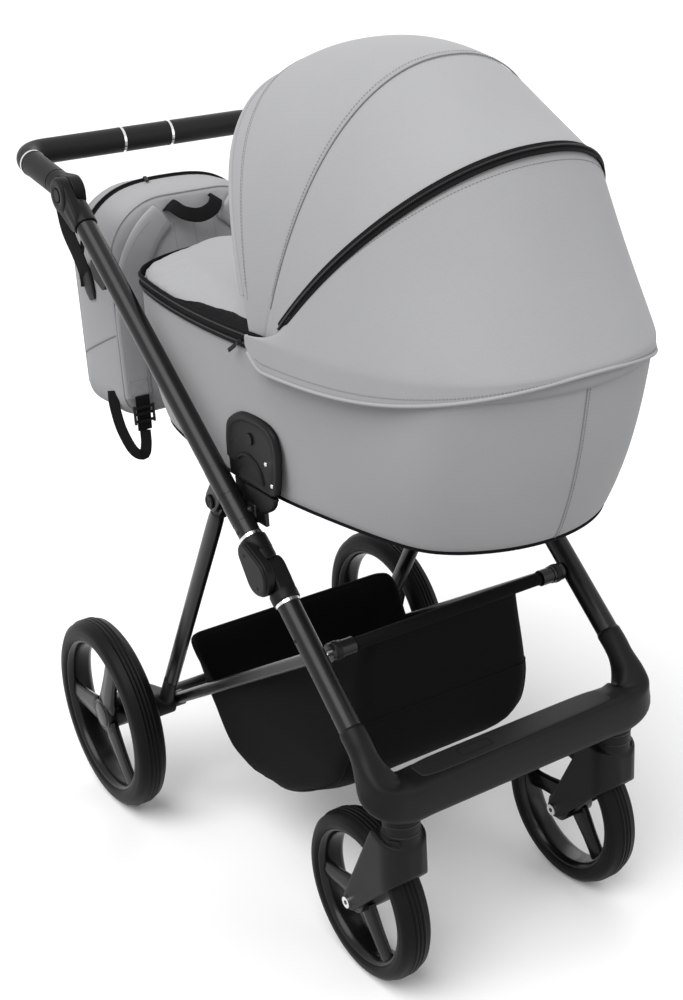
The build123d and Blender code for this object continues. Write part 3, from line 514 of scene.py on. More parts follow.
def eased(points, step_mm=6.0):
    """A smooth line through a few points (Catmull-Rom), in even steps."""
    pts = [Vector(p) for p in points]
    ends = [2 * pts[0] - pts[1], *pts, 2 * pts[-1] - pts[-2]]
    line = []
    for k in range(1, len(ends) - 2):
        a, b, c, d = ends[k - 1:k + 3]
        for i in range(16):
            t = i / 16
            line.append(0.5 * (2 * b + (c - a) * t + (2 * a - 5 * b + 4 * c - d) * t * t
                               + (3 * b - a - 3 * c + d) * t ** 3))
    line.append(pts[-1])
    return [Vector(p) for p in resample(line, step_mm * MM)]


def smooth_shade(obj):
    obj.data.polygons.foreach_set("use_smooth", [True] * len(obj.data.polygons))
    return obj


# Hood


HOOD_KEYS = (  # angle up from the front, half width, radius, squareness
    (0.0, 211.5, 338.0, 2.6),
    (41.3, 203.0, 336.6, 2.2),
    (72.3, 200.5, 325.0, 2.2),
    (124.5, 203.5, 337.0, 2.3),
)
HOOD_SAG = (0.925, 0.962, 0.982)
HOOD_ZIP = HOOD_KEYS[1][0]
HOOD_SEAM = HOOD_KEYS[2][0]
HOOD_RIM = HOOD_KEYS[3][0]
HOOD_COLS = 97
HOOD_THICK = 2.2
HOOD_FEET = ((0.0, -44.0), (HOOD_ZIP, 8.0), (HOOD_SEAM, -12.0), (HOOD_RIM, -45.0))  # angle, x of the foot


def along_table(table, at):
    """A smooth reading between the rows of a table of (place, value)."""
    xs = np.array([row[0] for row in table], float)
    ys = np.array([row[1] for row in table], float)
    if at <= xs[0] or at >= xs[-1]:
        return float(ys[0] if at <= xs[0] else ys[-1])
    slopes = np.diff(ys) / np.diff(xs)
    turns = np.where(slopes[1:] * slopes[:-1] > 0, (slopes[1:] + slopes[:-1]) / 2, 0)
    ends = np.concatenate([slopes[:1], turns, slopes[-1:]])
    k = int(np.searchsorted(xs, at) - 1)
    h = xs[k + 1] - xs[k]
    t = (at - xs[k]) / h
    return float(ys[k] * (1 + 2 * t) * (1 - t) ** 2 + ys[k + 1] * t * t * (3 - 2 * t)
                 + h * (ends[k] * t * (1 - t) ** 2 - ends[k + 1] * t * t * (1 - t)))


def hood_keys(angle):
    """The hood's half width, radius and squareness at an angle, taut between its bows."""
    for k in range(3):
        a, b = HOOD_KEYS[k], HOOD_KEYS[k + 1]
        if angle <= b[0] or k == 2:
            f = min(1.0, max(0.0, (angle - a[0]) / (b[0] - a[0])))
            half, radius, square = (a[i] + (b[i] - a[i]) * f for i in (1, 2, 3))
            return half, radius * (1 + (HOOD_SAG[k] - 1) * 4 * f * (1 - f)), square


def hood_point(angle, t, out=0.0):
    """A point of the hood's cloth; t runs from 0 at the left foot to pi at the right one."""
    half, radius, square = hood_keys(angle)
    c, s = math.cos(t), math.sin(t)
    y = (half + out) * math.copysign(abs(c) ** (2 / square), c)
    share = max(abs(s), 1e-6) ** (2 / square)
    r = (radius + out) * share
    a = math.radians(angle)
    foot = along_table(HOOD_FEET, angle) * max(0.0, 1 - share * 1.6) ** 2
    return P(HOOD_PIVOT[0] + r * math.cos(a) + foot, y, HOOD_PIVOT[1] + r * math.sin(a))


def hood_turn(k, margin=0.0):
    """The turn at a column, with the columns closer together near the feet."""
    return margin + (math.pi - 2 * margin) * (0.5 - 0.5 * math.cos(math.pi * k / (HOOD_COLS - 1)))


def hood_line(angle, out=0.0, margin=0.0):
    return [hood_point(angle, hood_turn(k, margin), out) for k in range(HOOD_COLS)]


def hem_z(t):
    """The hem's height: high in front, low along the sides, and rounded up at the feet."""
    corner = max(0.0, 1 - math.sin(t) ** 0.77 / 0.085)
    return 846.0 - 34.0 * abs(math.cos(t)) ** 1.6 + 26.0 * corner * corner


def hood_skirt(drop, out=0.0):
    """A row of the hood's lower edge: drop 0 is level with the pivot and 1 is the hem."""
    row = []
    for k in range(HOOD_COLS):
        t = hood_turn(k)
        p = hood_point(0.0, t, out)
        p.z = (HOOD_PIVOT[1] - (HOOD_PIVOT[1] - hem_z(t)) * drop) * MM
        row.append(p)
    return row


def make_hood():
    rows = [hood_skirt(1 - k / 5) for k in range(5)]
    rows += [hood_line(HOOD_ZIP * k / 14 if k < 14 else HOOD_ZIP - 0.6) for k in range(15)]
    back = grid_object("hood_back_cloth", rows, "grey_cloth")
    thicken(back, HOOD_THICK, 1, offset=-1, use_even_offset=True)
    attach(back, "bassinet")
    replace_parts(back, "hood_back")

    angles = list(np.linspace(HOOD_ZIP + 0.6, HOOD_SEAM, 11)) + list(np.linspace(HOOD_SEAM, HOOD_RIM, 18))[1:]
    rows = [hood_line(a, -1.6 * math.exp(-((a - HOOD_SEAM) / 1.1) ** 2)) for a in angles]
    front = grid_object("hood_front_cloth", rows, "grey_cloth")
    thicken(front, HOOD_THICK, 1, offset=-1, use_even_offset=True)
    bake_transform(front)
    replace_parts(front, "hood_mid", "hood_front")

    def outward(line):
        centre = np.array(P(HOOD_PIVOT[0] + 60, 0, HOOD_PIVOT[1]))
        return [np.array(p) - centre * np.array((1, 0.35, 1)) for p in line]

    rim_line = hood_line(HOOD_RIM, -0.5, margin=0.12)
    sweep("hood_rim_binding", rim_line, ring_section(3.4), "grey_cloth", "hood_front", outward(rim_line))
    tape_line = hood_line(HOOD_ZIP, -0.2, margin=0.07)
    hints = outward(tape_line)
    sweep("hood_zip_tape", tape_line, flat_section(15, 1.6), "webbing", "bassinet", hints)
    proud = hood_line(HOOD_ZIP, 1.0, margin=0.07)
    sweep("hood_zip_cord", proud, ring_section(2.0, 8), "webbing", "bassinet", hints)
    zip_teeth("hood_zip_teeth", hood_line(HOOD_ZIP, 2.4, margin=0.07), hints, "bassinet")
    line = hood_line(HOOD_ZIP - 2.4, 0.3, margin=0.07)
    stitches("hood_zip_stitch", line, outward(line), "grey_thread", "bassinet")
    for name, angle in (("hood_seam", HOOD_SEAM), ("hood_rim_seam", HOOD_RIM - 9.0)):
        line = hood_line(angle, -0.4, margin=0.1)
        seam = sweep(name, line, ring_section(0.9, 6), "grey_thread", None, outward(line))
        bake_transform(seam)
    for name, angle in (("hood_seam_stitch", HOOD_SEAM + 1.3), ("hood_rim_stitch", HOOD_RIM - 8.0)):
        line = hood_line(angle, 0.3, margin=0.15)
        row = stitches(name, line, outward(line), "grey_thread", None)
        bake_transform(row)
    bow_line = hood_line(HOOD_RIM - 3.0, -8.0, margin=0.14)
    bow = sweep("hood_bow", bow_line, ring_section(4.0, 10), "plastic_black", "hood_front", outward(bow_line))
    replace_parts(bow, "hood_rim_bow")
    for side, s in SIDES:
        stud = [P(HOOD_PIVOT[0], s * y, HOOD_PIVOT[1] - 3) for y in (184, 186, 196, 198.5)]
        piece = sweep("hood_stud_" + side, stud, ring_section(10.5, 24), "plastic_black", "bassinet",
                      (0, 0, 1), scale=[0.8, 1.0, 1.0, 0.8])
        if side == "left":
            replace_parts(piece, "hood_pivots")
    sweep("hood_hem_roll", hood_skirt(1.0)[2:-2], ring_section(2.3, 8), "grey_cloth", "bassinet")
    stitch_line = hood_skirt(0.72, 0.5)[5:-5]
    stitches("hood_hem_stitch", stitch_line, outward(stitch_line), "grey_thread", "bassinet")


# Tub


def arc_points(a, b, c, n):
    """Points on the arc from a through b to c, in plan."""
    (ax, ay), (bx, by), (cx, cy) = a, b, c
    d = 2 * (ax * (by - cy) + bx * (cy - ay) + cx * (ay - by))
    aa, bb, cc = (x * x + y * y for x, y in (a, b, c))
    ux = (aa * (by - cy) + bb * (cy - ay) + cc * (ay - by)) / d
    uy = (aa * (cx - bx) + bb * (ax - cx) + cc * (bx - ax)) / d
    r = math.hypot(ax - ux, ay - uy)
    t0, t1, t2 = (math.atan2(y - uy, x - ux) for x, y in (a, b, c))
    turn = (t2 - t0) % (2 * math.pi)
    if (t1 - t0) % (2 * math.pi) > turn:
        turn -= 2 * math.pi
    return [(ux + r * math.cos(t0 + turn * k / n), uy + r * math.sin(t0 + turn * k / n)) for k in range(n)]


def plan(front_x, corner, waist, rear_corner, rear_x):
    cx, cy = corner
    rx, ry = rear_corner
    wx, wy = waist
    pts = arc_points((cx, -cy), (front_x, 0), (cx, cy), 40) + arc_points((cx, cy), (wx, wy), (rx, ry), 72)
    pts += arc_points((rx, ry), (rear_x, 0), (rx, -ry), 40) + arc_points((rx, -ry), (wx, -wy), (cx, -cy), 72)
    pts = np.array(pts)
    for _ in range(14):
        pts = 0.5 * pts + 0.25 * (np.roll(pts, 1, 0) + np.roll(pts, -1, 0))
    return pts


RIM_PLAN = plan(488 + 333.2, (488 + 333.2 * 0.81, 207.2 * 0.77), (420.0, 205.0), (60.0, 165.0), -20.0)
BASE_PLAN = plan(757.0, (690.0, 135.0), (440.0, 178.0), (65.0, 140.0), 5.0)
PLAN_COLS = len(RIM_PLAN)


def plan_normals(pts):
    tan = np.roll(pts, -1, 0) - np.roll(pts, 1, 0)
    n = np.stack([tan[:, 1], -tan[:, 0]], 1)
    return n / np.linalg.norm(n, axis=1)[:, None]


RIM_OUT = plan_normals(RIM_PLAN)


def tub_row(f, out=0.0):
    """The tub's outline at a share of its height, with a soft belly at its ends."""
    pts = BASE_PLAN + (RIM_PLAN - BASE_PLAN) * f
    ends = np.clip((np.abs(pts[:, 0] - 400) - 120) / 180, 0, 1)
    belly = 11.0 * math.sin(math.pi * f ** 0.8) * ends * ends * (3 - 2 * ends)
    foot = 14.0 * max(0.0, 1 - f / 0.09) ** 2
    pts = pts + RIM_OUT * (belly + out - foot)[:, None]
    z = TUB_BASE_Z + (TUB_RIM_Z - TUB_BASE_Z) * f
    return [P(x, y, z) for x, y in pts]


def make_tub():
    shares = [0, 0.015, 0.04, 0.07, 0.1] + [0.1 + 0.9 * k / 18 for k in range(1, 19)]
    rows = [tub_row(f) for f in shares]
    lip = [[P(x, y, TUB_RIM_Z - d) for x, y in RIM_PLAN - RIM_OUT * i]
           for d, i in ((-0.5, 2.5), (1, 5.5), (30, 6))]
    inner = []
    for f in (0.7, 0.4, 0.12):
        pts = BASE_PLAN + (RIM_PLAN - BASE_PLAN) * f - RIM_OUT * 6.2
        inner.append([P(x, y, TUB_BASE_Z + (TUB_RIM_Z - TUB_BASE_Z) * f) for x, y in pts])
    bed = BASE_PLAN - RIM_OUT * 14
    floor = [[P(x, y, TUB_BASE_Z + 6) for x, y in bed]]
    under = [[P(400 + (x - 400) * k, y * k, TUB_BASE_Z) for x, y in bed] for k in (0.5, 0.85)]
    top = [[P(400 + (x - 400) * k, y * k, TUB_BASE_Z + 6) for x, y in bed] for k in (0.8, 0.4)]
    skin = closed_piece("tub_cloth", under + rows + lip + inner + floor + top, "grey_cloth", "bassinet")
    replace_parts(skin, "bassinet_tub")
    piping = [Vector(p) for p in tub_row(0.05, 0.6)]
    sweep("tub_base_piping", piping, ring_section(2.6, 8), "black_cloth", "bassinet", closed=True)
    middle = 20
    for name, index in (("front", middle), ("rear", middle + PLAN_COLS // 2)):
        line = [tub_row(f, 0.3)[index] for f in np.linspace(0.06, 0.97, 40)]
        out = (*RIM_OUT[index], 0.2)
        sweep("tub_seam_" + name, line, ring_section(0.9, 6), "grey_thread", "bassinet", out)
        row = [Vector(p) + Vector((0, 4.0 * MM, 0)) for p in line]
        stitches("tub_seam_stitch_" + name, row, out, "grey_thread", "bassinet")


def make_tub_collar():
    """The band of cloth that joins the tub's rim to the hood's lower edge, inside the hem."""
    order = [k for k in np.roll(np.arange(PLAN_COLS), PLAN_COLS // 2) if RIM_PLAN[k][0] > 480]
    section = ((828, 0.8), (838, 0.4), (846, -1.6), (854, -4.0),
               (854, -6.0), (846, -3.8), (838, -1.8), (828, -1.2))
    rows = [[P(*(RIM_PLAN[k] + RIM_OUT[k] * out), z) for k in order] for z, out in section]
    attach(clean_normals(grid_object("tub_collar", rows, "grey_cloth", wrap_rows=True)), "bassinet")


# Apron, its zip, and the mattress


def rear_rim(z, out, front_x):
    """The rim's line from the left side round the back to the right side."""
    order = np.roll(np.arange(PLAN_COLS), -40)
    pts = [(RIM_PLAN[k] + RIM_OUT[k] * out, RIM_OUT[k]) for k in order]
    pts = [(xy, n) for xy, n in pts if xy[0] < front_x]
    return [P(xy[0], xy[1], z) for xy, _ in pts], [np.array((n[0], n[1], 0.0)) for _, n in pts]


APRON_SEAM_Z = 847.0


def make_apron():
    edge, _ = rear_rim(0.0, -2.0, 452.0)
    edge = np.array([(p.x / MM + ORIGIN_X, p.y / MM) for p in edge])
    centre = np.array((210.0, 0.0))
    rows = []
    for share, z in ((0.4, 842.5), (0.8, 842.5), (0.97, 843.0), (1.0, 849.0), (0.985, 857.0), (0.93, 864.0),
                     (0.8, 868.0), (0.55, 869.5), (0.25, 870.0)):
        rows.append([P(*(centre + (xy - centre) * share), z) for xy in edge])
    apron = clean_normals(grid_object("apron_cloth", rows, "grey_cloth", wrap_cols=True, caps=True))
    inflate(apron, 6.0, 2.2, 6.0, lambda co: co[:, 2] < APRON_SEAM_Z * MM)
    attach(apron, "bassinet")
    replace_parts(apron, "apron")
    for side, s in SIDES:
        make_apron_mesh(skin_of(apron), side, s)

    line, _ = rear_rim(843.0, 0.9, 478.0)
    sweep("apron_zip_band", line, flat_section(1.6, 24), "webbing", "bassinet")
    for k, z in enumerate((838.5, 849.5)):
        line, _ = rear_rim(z, 2.2, 476.0)
        sweep("apron_zip_cord_%d" % k, line, ring_section(1.9, 8), "webbing", "bassinet")
        line, out = rear_rim(z, 3.4, 476.0)
        zip_teeth("apron_zip_teeth_%d" % k, line, out, "bassinet")
    line, out = rear_rim(829.5, 0.6, 478.0)
    stitches("apron_zip_stitch", line, out, "grey_thread", "bassinet")
    line, out = rear_rim(838.5, 4.0, 434.0)
    zip_pull("apron_zip_pull", line[-1], out[-1], (-0.83, -0.12, -0.55), "bassinet")


def make_apron_mesh(skin, side, s):
    """The black mesh that shows between the apron's edge and its zip, wider towards the hood."""
    start, end, widest, steps = 205.0, 458.0, 13.0, 5
    edge, out = rear_rim(0.0, -1.0, end + 5.0)
    run = sorted((p.x / MM + ORIGIN_X, p.y / MM, n[1]) for p, n in zip(edge, out) if p.y * s > 0)
    along = np.arange(start, end, 4.0)
    y, inward = [np.interp(along, [r[0] for r in run], [r[k] for r in run]) for k in (1, 2)]
    foot = [P(x, yk, 851.0) for x, yk in zip(along, y)]
    rows = [foot]
    for step in range(steps + 1):
        row = []
        for x, yk, n, low in zip(along, y, inward, foot):
            share = (x - start) / (end - start)
            width = 7.0 + (widest + 1.5 * math.sin(x / 14.0)) * share * step / steps
            lift = 1.4 + 0.7 * step / steps * math.sin(x / 9.0) ** 2
            at = onto(skin, [P(x, yk - n * width, 862.0)], (0, 0, -1), lift)[0][0]
            row.append(low + (at - low) * min(1.0, share * 3.0))
        rows.append(row)
    mesh = grid_object("apron_mesh_" + side, rows, "webbing")
    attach(thicken(mesh, 0.8, offset=0), "bassinet")


def zip_pull(name, at, out, hang, body):
    """A slider with its tab, hanging from the teeth of a zip."""
    out = Vector(out).normalized()
    hang = Vector(hang).normalized()
    base = Vector(at)
    tab = [base + out * 2.5 * MM + hang * d * MM for d in np.linspace(0, 26, 14)]
    width = [0.55 if 2 < k < 5 else 1.0 for k in range(14)]
    sweep(name + "_tab", tab, flat_section(5.5, 1.6), "plastic_black", body, out, scale=width)
    slider = [base + hang * d * MM for d in (-4, -2.5, 0, 2.5, 4)]
    sweep(name + "_slider", slider, flat_section(8, 5), "plastic_black", body, out,
          scale=[0.6, 0.9, 1.0, 0.9, 0.6])


def make_mattress():
    pad = soft_copy("mattress", "mattress_pad", "mattress_cloth")
    inflate(pad, 6.0, 3.0, 5.0)
    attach(pad, "bassinet")
    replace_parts(pad, "mattress")
    skin = skin_of(pad)
    for k, x in enumerate((170.0, 330.0, 490.0, 640.0)):
        line = [P(x, y, 700) for y in np.linspace(-120, 120, 41)]
        sew("mattress_stitch_%d" % k, skin, line, (0, 0, -1), 0.2, "mattress_cloth", "bassinet")


# Basket


BASKET_LOW = 108.0
BASKET_FRONT = ((108, 298), (114, 332), (135, 365), (190, 453), (240, 508), (459, 545))
BASKET_REAR = ((108, 262), (113, 231), (128, 198), (209, 146), (308, 130))
BASKET_SEAM_Z = 330.0


def basket_half(x, z):
    """Half the basket's width at a place in its length and height."""
    f = min(1.0, max(0.0, (x - 130.0) / 416.0))
    rear = float(np.interp(z, (108, 114, 126, 150, 255, 308, 459), (122, 140, 154, 163, 173, 181, 181)))
    front = float(np.interp(z, (108, 114, 126, 150, 255, 332, 459), (112, 125, 134, 141, 152, 146, 122)))
    return rear + (front - rear) * f


def basket_loop(z, belly=True):
    """The basket's outline in plan at a height: front, left side, rear, right side."""
    swell = 0.0
    if belly and z < BASKET_SEAM_Z:
        swell = 7.0 * math.sin(math.pi * (z - BASKET_LOW) / (BASKET_SEAM_Z - BASKET_LOW))
    xf, xr = along_table(BASKET_FRONT, z) + swell, along_table(BASKET_REAR, z) - swell * 0.3
    wf, wr = basket_half(xf, z) + swell * 0.6, basket_half(xr, z) + swell * 0.3
    r = min(float(np.interp(z, (BASKET_LOW, 210, 320, 459), (48, 48, 24, 16))), (xf - xr) * 0.42)
    pts = [(xf, wf * k / 12 * (1 - r / wf)) for k in range(-12, 13)]
    corner = [math.radians(a) for a in np.linspace(0, 90, 12)[1:-1]]
    pts += [(xf - r + r * math.cos(a), wf - r + r * math.sin(a)) for a in corner]
    pts += [(xf - r + (xr - xf + 2 * r) * k / 36, wf + (wr - wf) * k / 36) for k in range(37)]
    pts += [(xr + r - r * math.sin(a), wr - r + r * math.cos(a)) for a in corner]
    left = pts[25:]
    pts += [(xr, (wr - r) * (1 - k / 10)) for k in range(0, 21)]
    pts += [(x, -y) for x, y in reversed(left)]
    return pts


def basket_top(x):
    """The height of the basket's hem: the bar in front, the links at the sides, and the rear hem."""
    link = 175.0 + (x - 66.0) * 0.5837 - 3.0
    rear = min(1.0, max(0.0, (192.0 - x) / 56.0))
    front = min(1.0, max(0.0, (x - 490.0) / 50.0))
    z = link + (308.0 - link) * rear * rear * (3 - 2 * rear)
    return z + (459.0 - z) * front


def make_basket():
    tops = [basket_top(x) for x, _ in basket_loop(320.0)]
    shares = [0.0, 0.015, 0.04, 0.08, 0.13] + list(np.linspace(0.2, 1.0, 22))
    rows = []
    for k in (0.08, 0.55):
        rows.append([P(281 + (x - 281) * k, y * (0.4 + 0.6 * k), BASKET_LOW - 0.5)
                     for x, y in basket_loop(BASKET_LOW)])
    for f in shares:
        row = []
        for j, top in enumerate(tops):
            z = BASKET_LOW + (top - BASKET_LOW) * f
            x, y = basket_loop(z)[j]
            row.append(P(x, y, z))
        rows.append(row)
    cloth = grid_object("basket_cloth", rows, "black_cloth", wrap_cols=True)
    thicken(cloth, 2.4, offset=-1)
    squashed = [cloth]
    squashed.append(sweep("basket_hem", rows[-1], ring_section(3.0, 8), "black_cloth", None, closed=True))
    seam = [P(*basket_loop(BASKET_SEAM_Z, False)[j], BASKET_SEAM_Z) for j in range(35)]
    seam = [P(*basket_loop(BASKET_SEAM_Z, False)[-10 + j], BASKET_SEAM_Z) for j in range(10)] + seam
    squashed.append(sweep("basket_seam", seam, ring_section(1.8, 6), "black_cloth", None))
    for side, j in (("left", 30), ("right", -6)):
        up = [P(*basket_loop(z)[j], z) for z in np.linspace(135, BASKET_SEAM_Z, 30)]
        squashed.append(sweep("basket_side_seam_" + side, up, ring_section(1.5, 6), "black_cloth", None))
    sleeve = [beside(LINK_FRONT, y) for y in np.linspace(-149, 149, 36)]
    sweep("basket_sleeve", sleeve, ring_section(8.4, 20), "black_cloth", "front_frame")
    for piece in squashed:
        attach(piece, "front_frame")
        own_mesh(piece)
    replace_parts(cloth, "basket")


# Bag at the handle


BAG_X = (-225.0, -80.0)
BAG_HALF = 150.0
BAG_Z = (585.0, 930.0)
BAG_ARCH = 105.0
BAG_ROUND = 40.0
BAG_SEAM_IN = 8.2
STRAP_Y = 122.0


def bag_outline(inset, x, count=160):
    """The bag's outline from behind, as a closed line at one x."""
    h, z0, z1 = BAG_HALF - inset, BAG_Z[0] + inset, BAG_Z[1] - inset
    top, low = BAG_ARCH - inset, BAG_ROUND - inset
    pts = []
    for cy, cz, r, a0 in ((h - low, z0 + low, low, -90), (h - top, z1 - top, top, 0),
                          (-h + top, z1 - top, top, 90), (-h + low, z0 + low, low, 180)):
        pts += [(cy + r * math.cos(math.radians(a0 + 6 * k)), cz + r * math.sin(math.radians(a0 + 6 * k)))
                for k in range(16)]
    line = resample([P(x, y, z) for y, z in pts], 2 * MM, closed=True)
    index = np.linspace(0, len(line), count, endpoint=False).astype(int)
    return [Vector(line[k]) for k in index]


def make_bag():
    bag = soft_copy("bag", "bag_cloth", "grey_cloth")
    seams = (BAG_X[0] + BAG_SEAM_IN, BAG_X[1] - BAG_SEAM_IN)
    seam_x = [(x - ORIGIN_X) * MM for x in seams]
    inflate(bag, 6.0, 4.0, 10.0, lambda co: np.abs(co[:, :1] - np.array([seam_x])).min(1) < 3.5 * MM)
    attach(bag, "upper_frame")
    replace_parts(bag, "bag")
    skin = skin_of(bag)
    for name, x in zip(("rear", "front"), seams):
        line = bag_outline(BAG_SEAM_IN, x)
        sweep("bag_piping_" + name, line, ring_section(2.0, 8), "grey_cloth", "upper_frame",
              (1, 0, 0), closed=True)

    arch = [(-151, 800), (-150, 835), (-135, 880), (-100, 912), (-55, 929), (0, 932)]
    arch += [(-y, z) for y, z in reversed(arch[:-1])]
    line = eased([P(-170, y, z) for y, z in arch])
    aim = P(-170, 0, 800)
    places, normals = [], []
    for p in line:
        at, n = onto(skin, [p], (aim - p).normalized(), 0.6)
        places += at
        normals += n
    places = [Vector(p) for p in resample(places, 5 * MM)]
    index = np.linspace(0, len(normals) - 1, len(places)).round().astype(int)
    normals = [normals[k] for k in index]
    sweep("bag_zip_tape", places, flat_section(16, 1.6), "webbing", "upper_frame", normals)
    proud = raised(places, normals, 1.2)
    sweep("bag_zip_cord", proud, ring_section(2.2, 8), "webbing", "upper_frame", normals)
    proud = raised(places, normals, 2.6)
    zip_teeth("bag_zip_teeth", proud, normals, "upper_frame")
    middle = len(proud) // 2 - 6
    zip_pull("bag_zip_pull", proud[middle], normals[middle], (0.9, -0.3, -0.1), "upper_frame")

    for side, s in SIDES:
        make_shoulder_strap(skin, side, s)
        make_hanger(side, s)
        low = [P(x, s * 160, z) for x, z in ((-217, 668), (-152, 695), (-88, 724))]
        places, normals = onto(skin, eased(low), (0, -s, 0), 0.2)
        sweep("bag_side_seam_" + side, places, ring_section(1.4, 6), "grey_thread", "upper_frame", normals)
    for k, y in enumerate((-34.0, 0.0, 34.0)):
        line = [P(-60, y, z) for z in np.linspace(640, 880, 60)]
        sew("bag_channel_%d" % k, skin, line, (-1, 0, 0), 0.2, "grey_thread", "upper_frame")
    pocket = [(-112, 775), (-112, 640), (-104, 622), (-88, 614),
              (88, 614), (104, 622), (112, 640), (112, 775)]
    line = resample([P(-240, y, z) for y, z in pocket], 5 * MM, closed=True)
    places, normals = onto(skin, line, (1, 0, 0), 0.3)
    sweep("bag_pocket_seam", places, ring_section(1.5, 6), "grey_thread", "upper_frame", normals, closed=True)
    line = [P(-240, y, 771) for y in np.linspace(-106, 106, 60)]
    places, normals = onto(skin, line, (1, 0, 0), 0.5)
    sweep("bag_pocket_zip_tape", places, flat_section(13, 1.4), "webbing", "upper_frame", normals)
    proud = raised(places, normals, 1.6)
    zip_teeth("bag_pocket_zip_teeth", proud, normals, "upper_frame")
    zip_pull("bag_pocket_zip_pull", proud[4], normals[4], (0, 0.1, -1), "upper_frame")
    loop = ((-84, -40, 905), (-70, -38, 908), (-58, -24, 896), (-54, 0, 890), (-58, 24, 896),
            (-70, 38, 908), (-84, 40, 905))
    line = eased([P(*p) for p in loop], 4.0)
    sweep("bag_grab_loop", line, flat_section(22, 2.2), "webbing", "upper_frame", (1, 0, 0.4))


def make_shoulder_strap(skin, side, s):
    """A padded strap down the bag's face, with its stitching, buckle and webbing tail."""
    route = ((52, 895), (82, 870), (105, 832), (117, 785), (122, 710), (122, 622))
    line = eased([P(-70, s * y, z) for y, z in route], 5.0)
    places, normals = onto(skin, line, (-1, 0, 0), 6.0)
    normals = [np.array((1.0, 0.0, 0.0))] * len(places)
    width = [0.86 + 0.14 * math.sin(math.pi * min(1.0, k / len(places) * 1.4)) for k in range(len(places))]
    strap = sweep("bag_strap_" + side, places, flat_section(56, 11, 0.8), "grey_cloth", None,
                  normals, scale=width)
    modify(strap, "SUBSURF", levels=1, render_levels=1)
    smooth_shade(bake_modifiers(strap))
    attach(strap, "upper_frame")
    if side == "left":
        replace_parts(strap, "bag_shoulder_straps")
    top = skin_of(strap)
    for k, off in enumerate((-20.0, 20.0)):
        edge = [p + Vector((0, off * w * MM, 0)) for p, w in zip(places, width)]
        sew("bag_strap_stitch_%s_%d" % (side, k), top, edge[2:-2], (-1, 0, 0), 0.1, "grey_thread",
            "upper_frame")
    y0, z0 = s * STRAP_Y, 640.0
    box = [(-15, -12), (15, -12), (15, 12), (-15, 12), (-15, -12), (15, 12), (15, -12), (-15, 12)]
    for k, ((ya, za), (yb, zb)) in enumerate(zip(box, box[1:])):
        piece = [P(-50, y0 + ya + (yb - ya) * f, z0 + za + (zb - za) * f) for f in np.linspace(0, 1, 9)]
        sew("bag_patch_%s_%d" % (side, k), top, piece, (-1, 0, 0), 0.1, "grey_thread", "upper_frame",
            pitch=3.2, length=2.2)
    web = [P(x, s * STRAP_Y, z) for x, z in ((-66, 628), (-66, 612), (-67, 594), (-68, 572))]
    sweep("bag_tail_" + side, eased(web, 4.0), flat_section(24, 2.0), "webbing", "upper_frame", (1, 0, 0))
    bars = [("", k, (-17, 17), (z, z), 5) for k, z in enumerate((610, 600, 588))]
    bars += [("side_", k, (y, y), (584, 613), 4.5) for k, y in enumerate((-16, 16))]
    for kind, k, ys, zs, wide in bars:
        bar = [P(-64.5, y0 + y, z) for y, z in zip(np.linspace(*ys, 9), np.linspace(*zs, 9))]
        sweep("bag_buckle_%s%s_%d" % (kind, side, k), bar, flat_section(wide, 4.5), "plastic_black",
              "upper_frame", (1, 0, 0))
    tail = ((-68, 122, 572), (-68, 123, 548), (-70, 128, 532), (-80, 140, 538),
            (-94, 150, 572), (-104, 153, 610), (-108, 151, 632))
    line = eased([P(x, s * y, z) for x, y, z in tail], 4.0)
    sweep("bag_loop_" + side, line, flat_section(18, 1.8), "webbing", "upper_frame", (1, s, 0))


def make_hanger(side, s):
    """The webbing that hangs the bag under the handle's hinge, and its clip."""
    line = eased([P(-51, s * 219, 932), P(-80, s * 203, 892), P(-118, s * 176, 845), P(-150, s * 155, 806),
                  P(-152, s * 153.5, 790)], 5.0)
    strap = sweep("bag_hanger_" + side, line, flat_section(22, 2.0), "webbing", "upper_frame",
                  (0.8, s * 0.8, 0.2))
    if side == "left":
        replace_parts(strap, "bag_hanger_straps")
    clip = [P(-150 + 3 * k, s * (156.5 - 0.4 * k), 828 - 11 * k) for k in range(6)]
    sweep("bag_clip_" + side, clip, flat_section(34, 6), "plastic_black", "upper_frame", (0, s, 0),
          scale=[0.6, 0.9, 1.0, 1.0, 0.9, 0.6])


# Tyres


def make_tyre(node, axle, y, dia, width, body):
    """A tyre with a rounded crown, grooves round its tread and ridges on its walls."""
    r, h = dia / 2, width / 2
    seat = r * 0.8
    crown = [(-h * 0.52, r - 2.6), (-h * 0.4, r - 1.1)]
    tread = []
    for c in (-0.26, 0.0, 0.26):
        groove = ((-0.07, 0.2), (-0.05, 2.4), (0.05, 2.4), (0.07, 0.2))
        tread += [(h * (c + off), r - deep) for off, deep in groove]
    wall = [(-h * 0.8, seat), (-h * 0.9, seat + 1.5), (-h * 0.985, seat + 4.5), (-h, r * 0.875),
            (-h * 0.97, r * 0.89), (-h * 0.975, r * 0.9), (-h * 0.93, r * 0.93), (-h * 0.75, r * 0.972)]
    half = wall + crown
    profile = half + tread + [(-a, b) for a, b in reversed(half)]
    profile.append(profile[0])
    tyre = lathe(node + "_rubber", profile, beside(axle, y), (0, 1, 0), "tyre_black", body, 96)
    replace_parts(tyre, node)


SPOKE_TURN = 65  # degrees, as on the near rear wheel


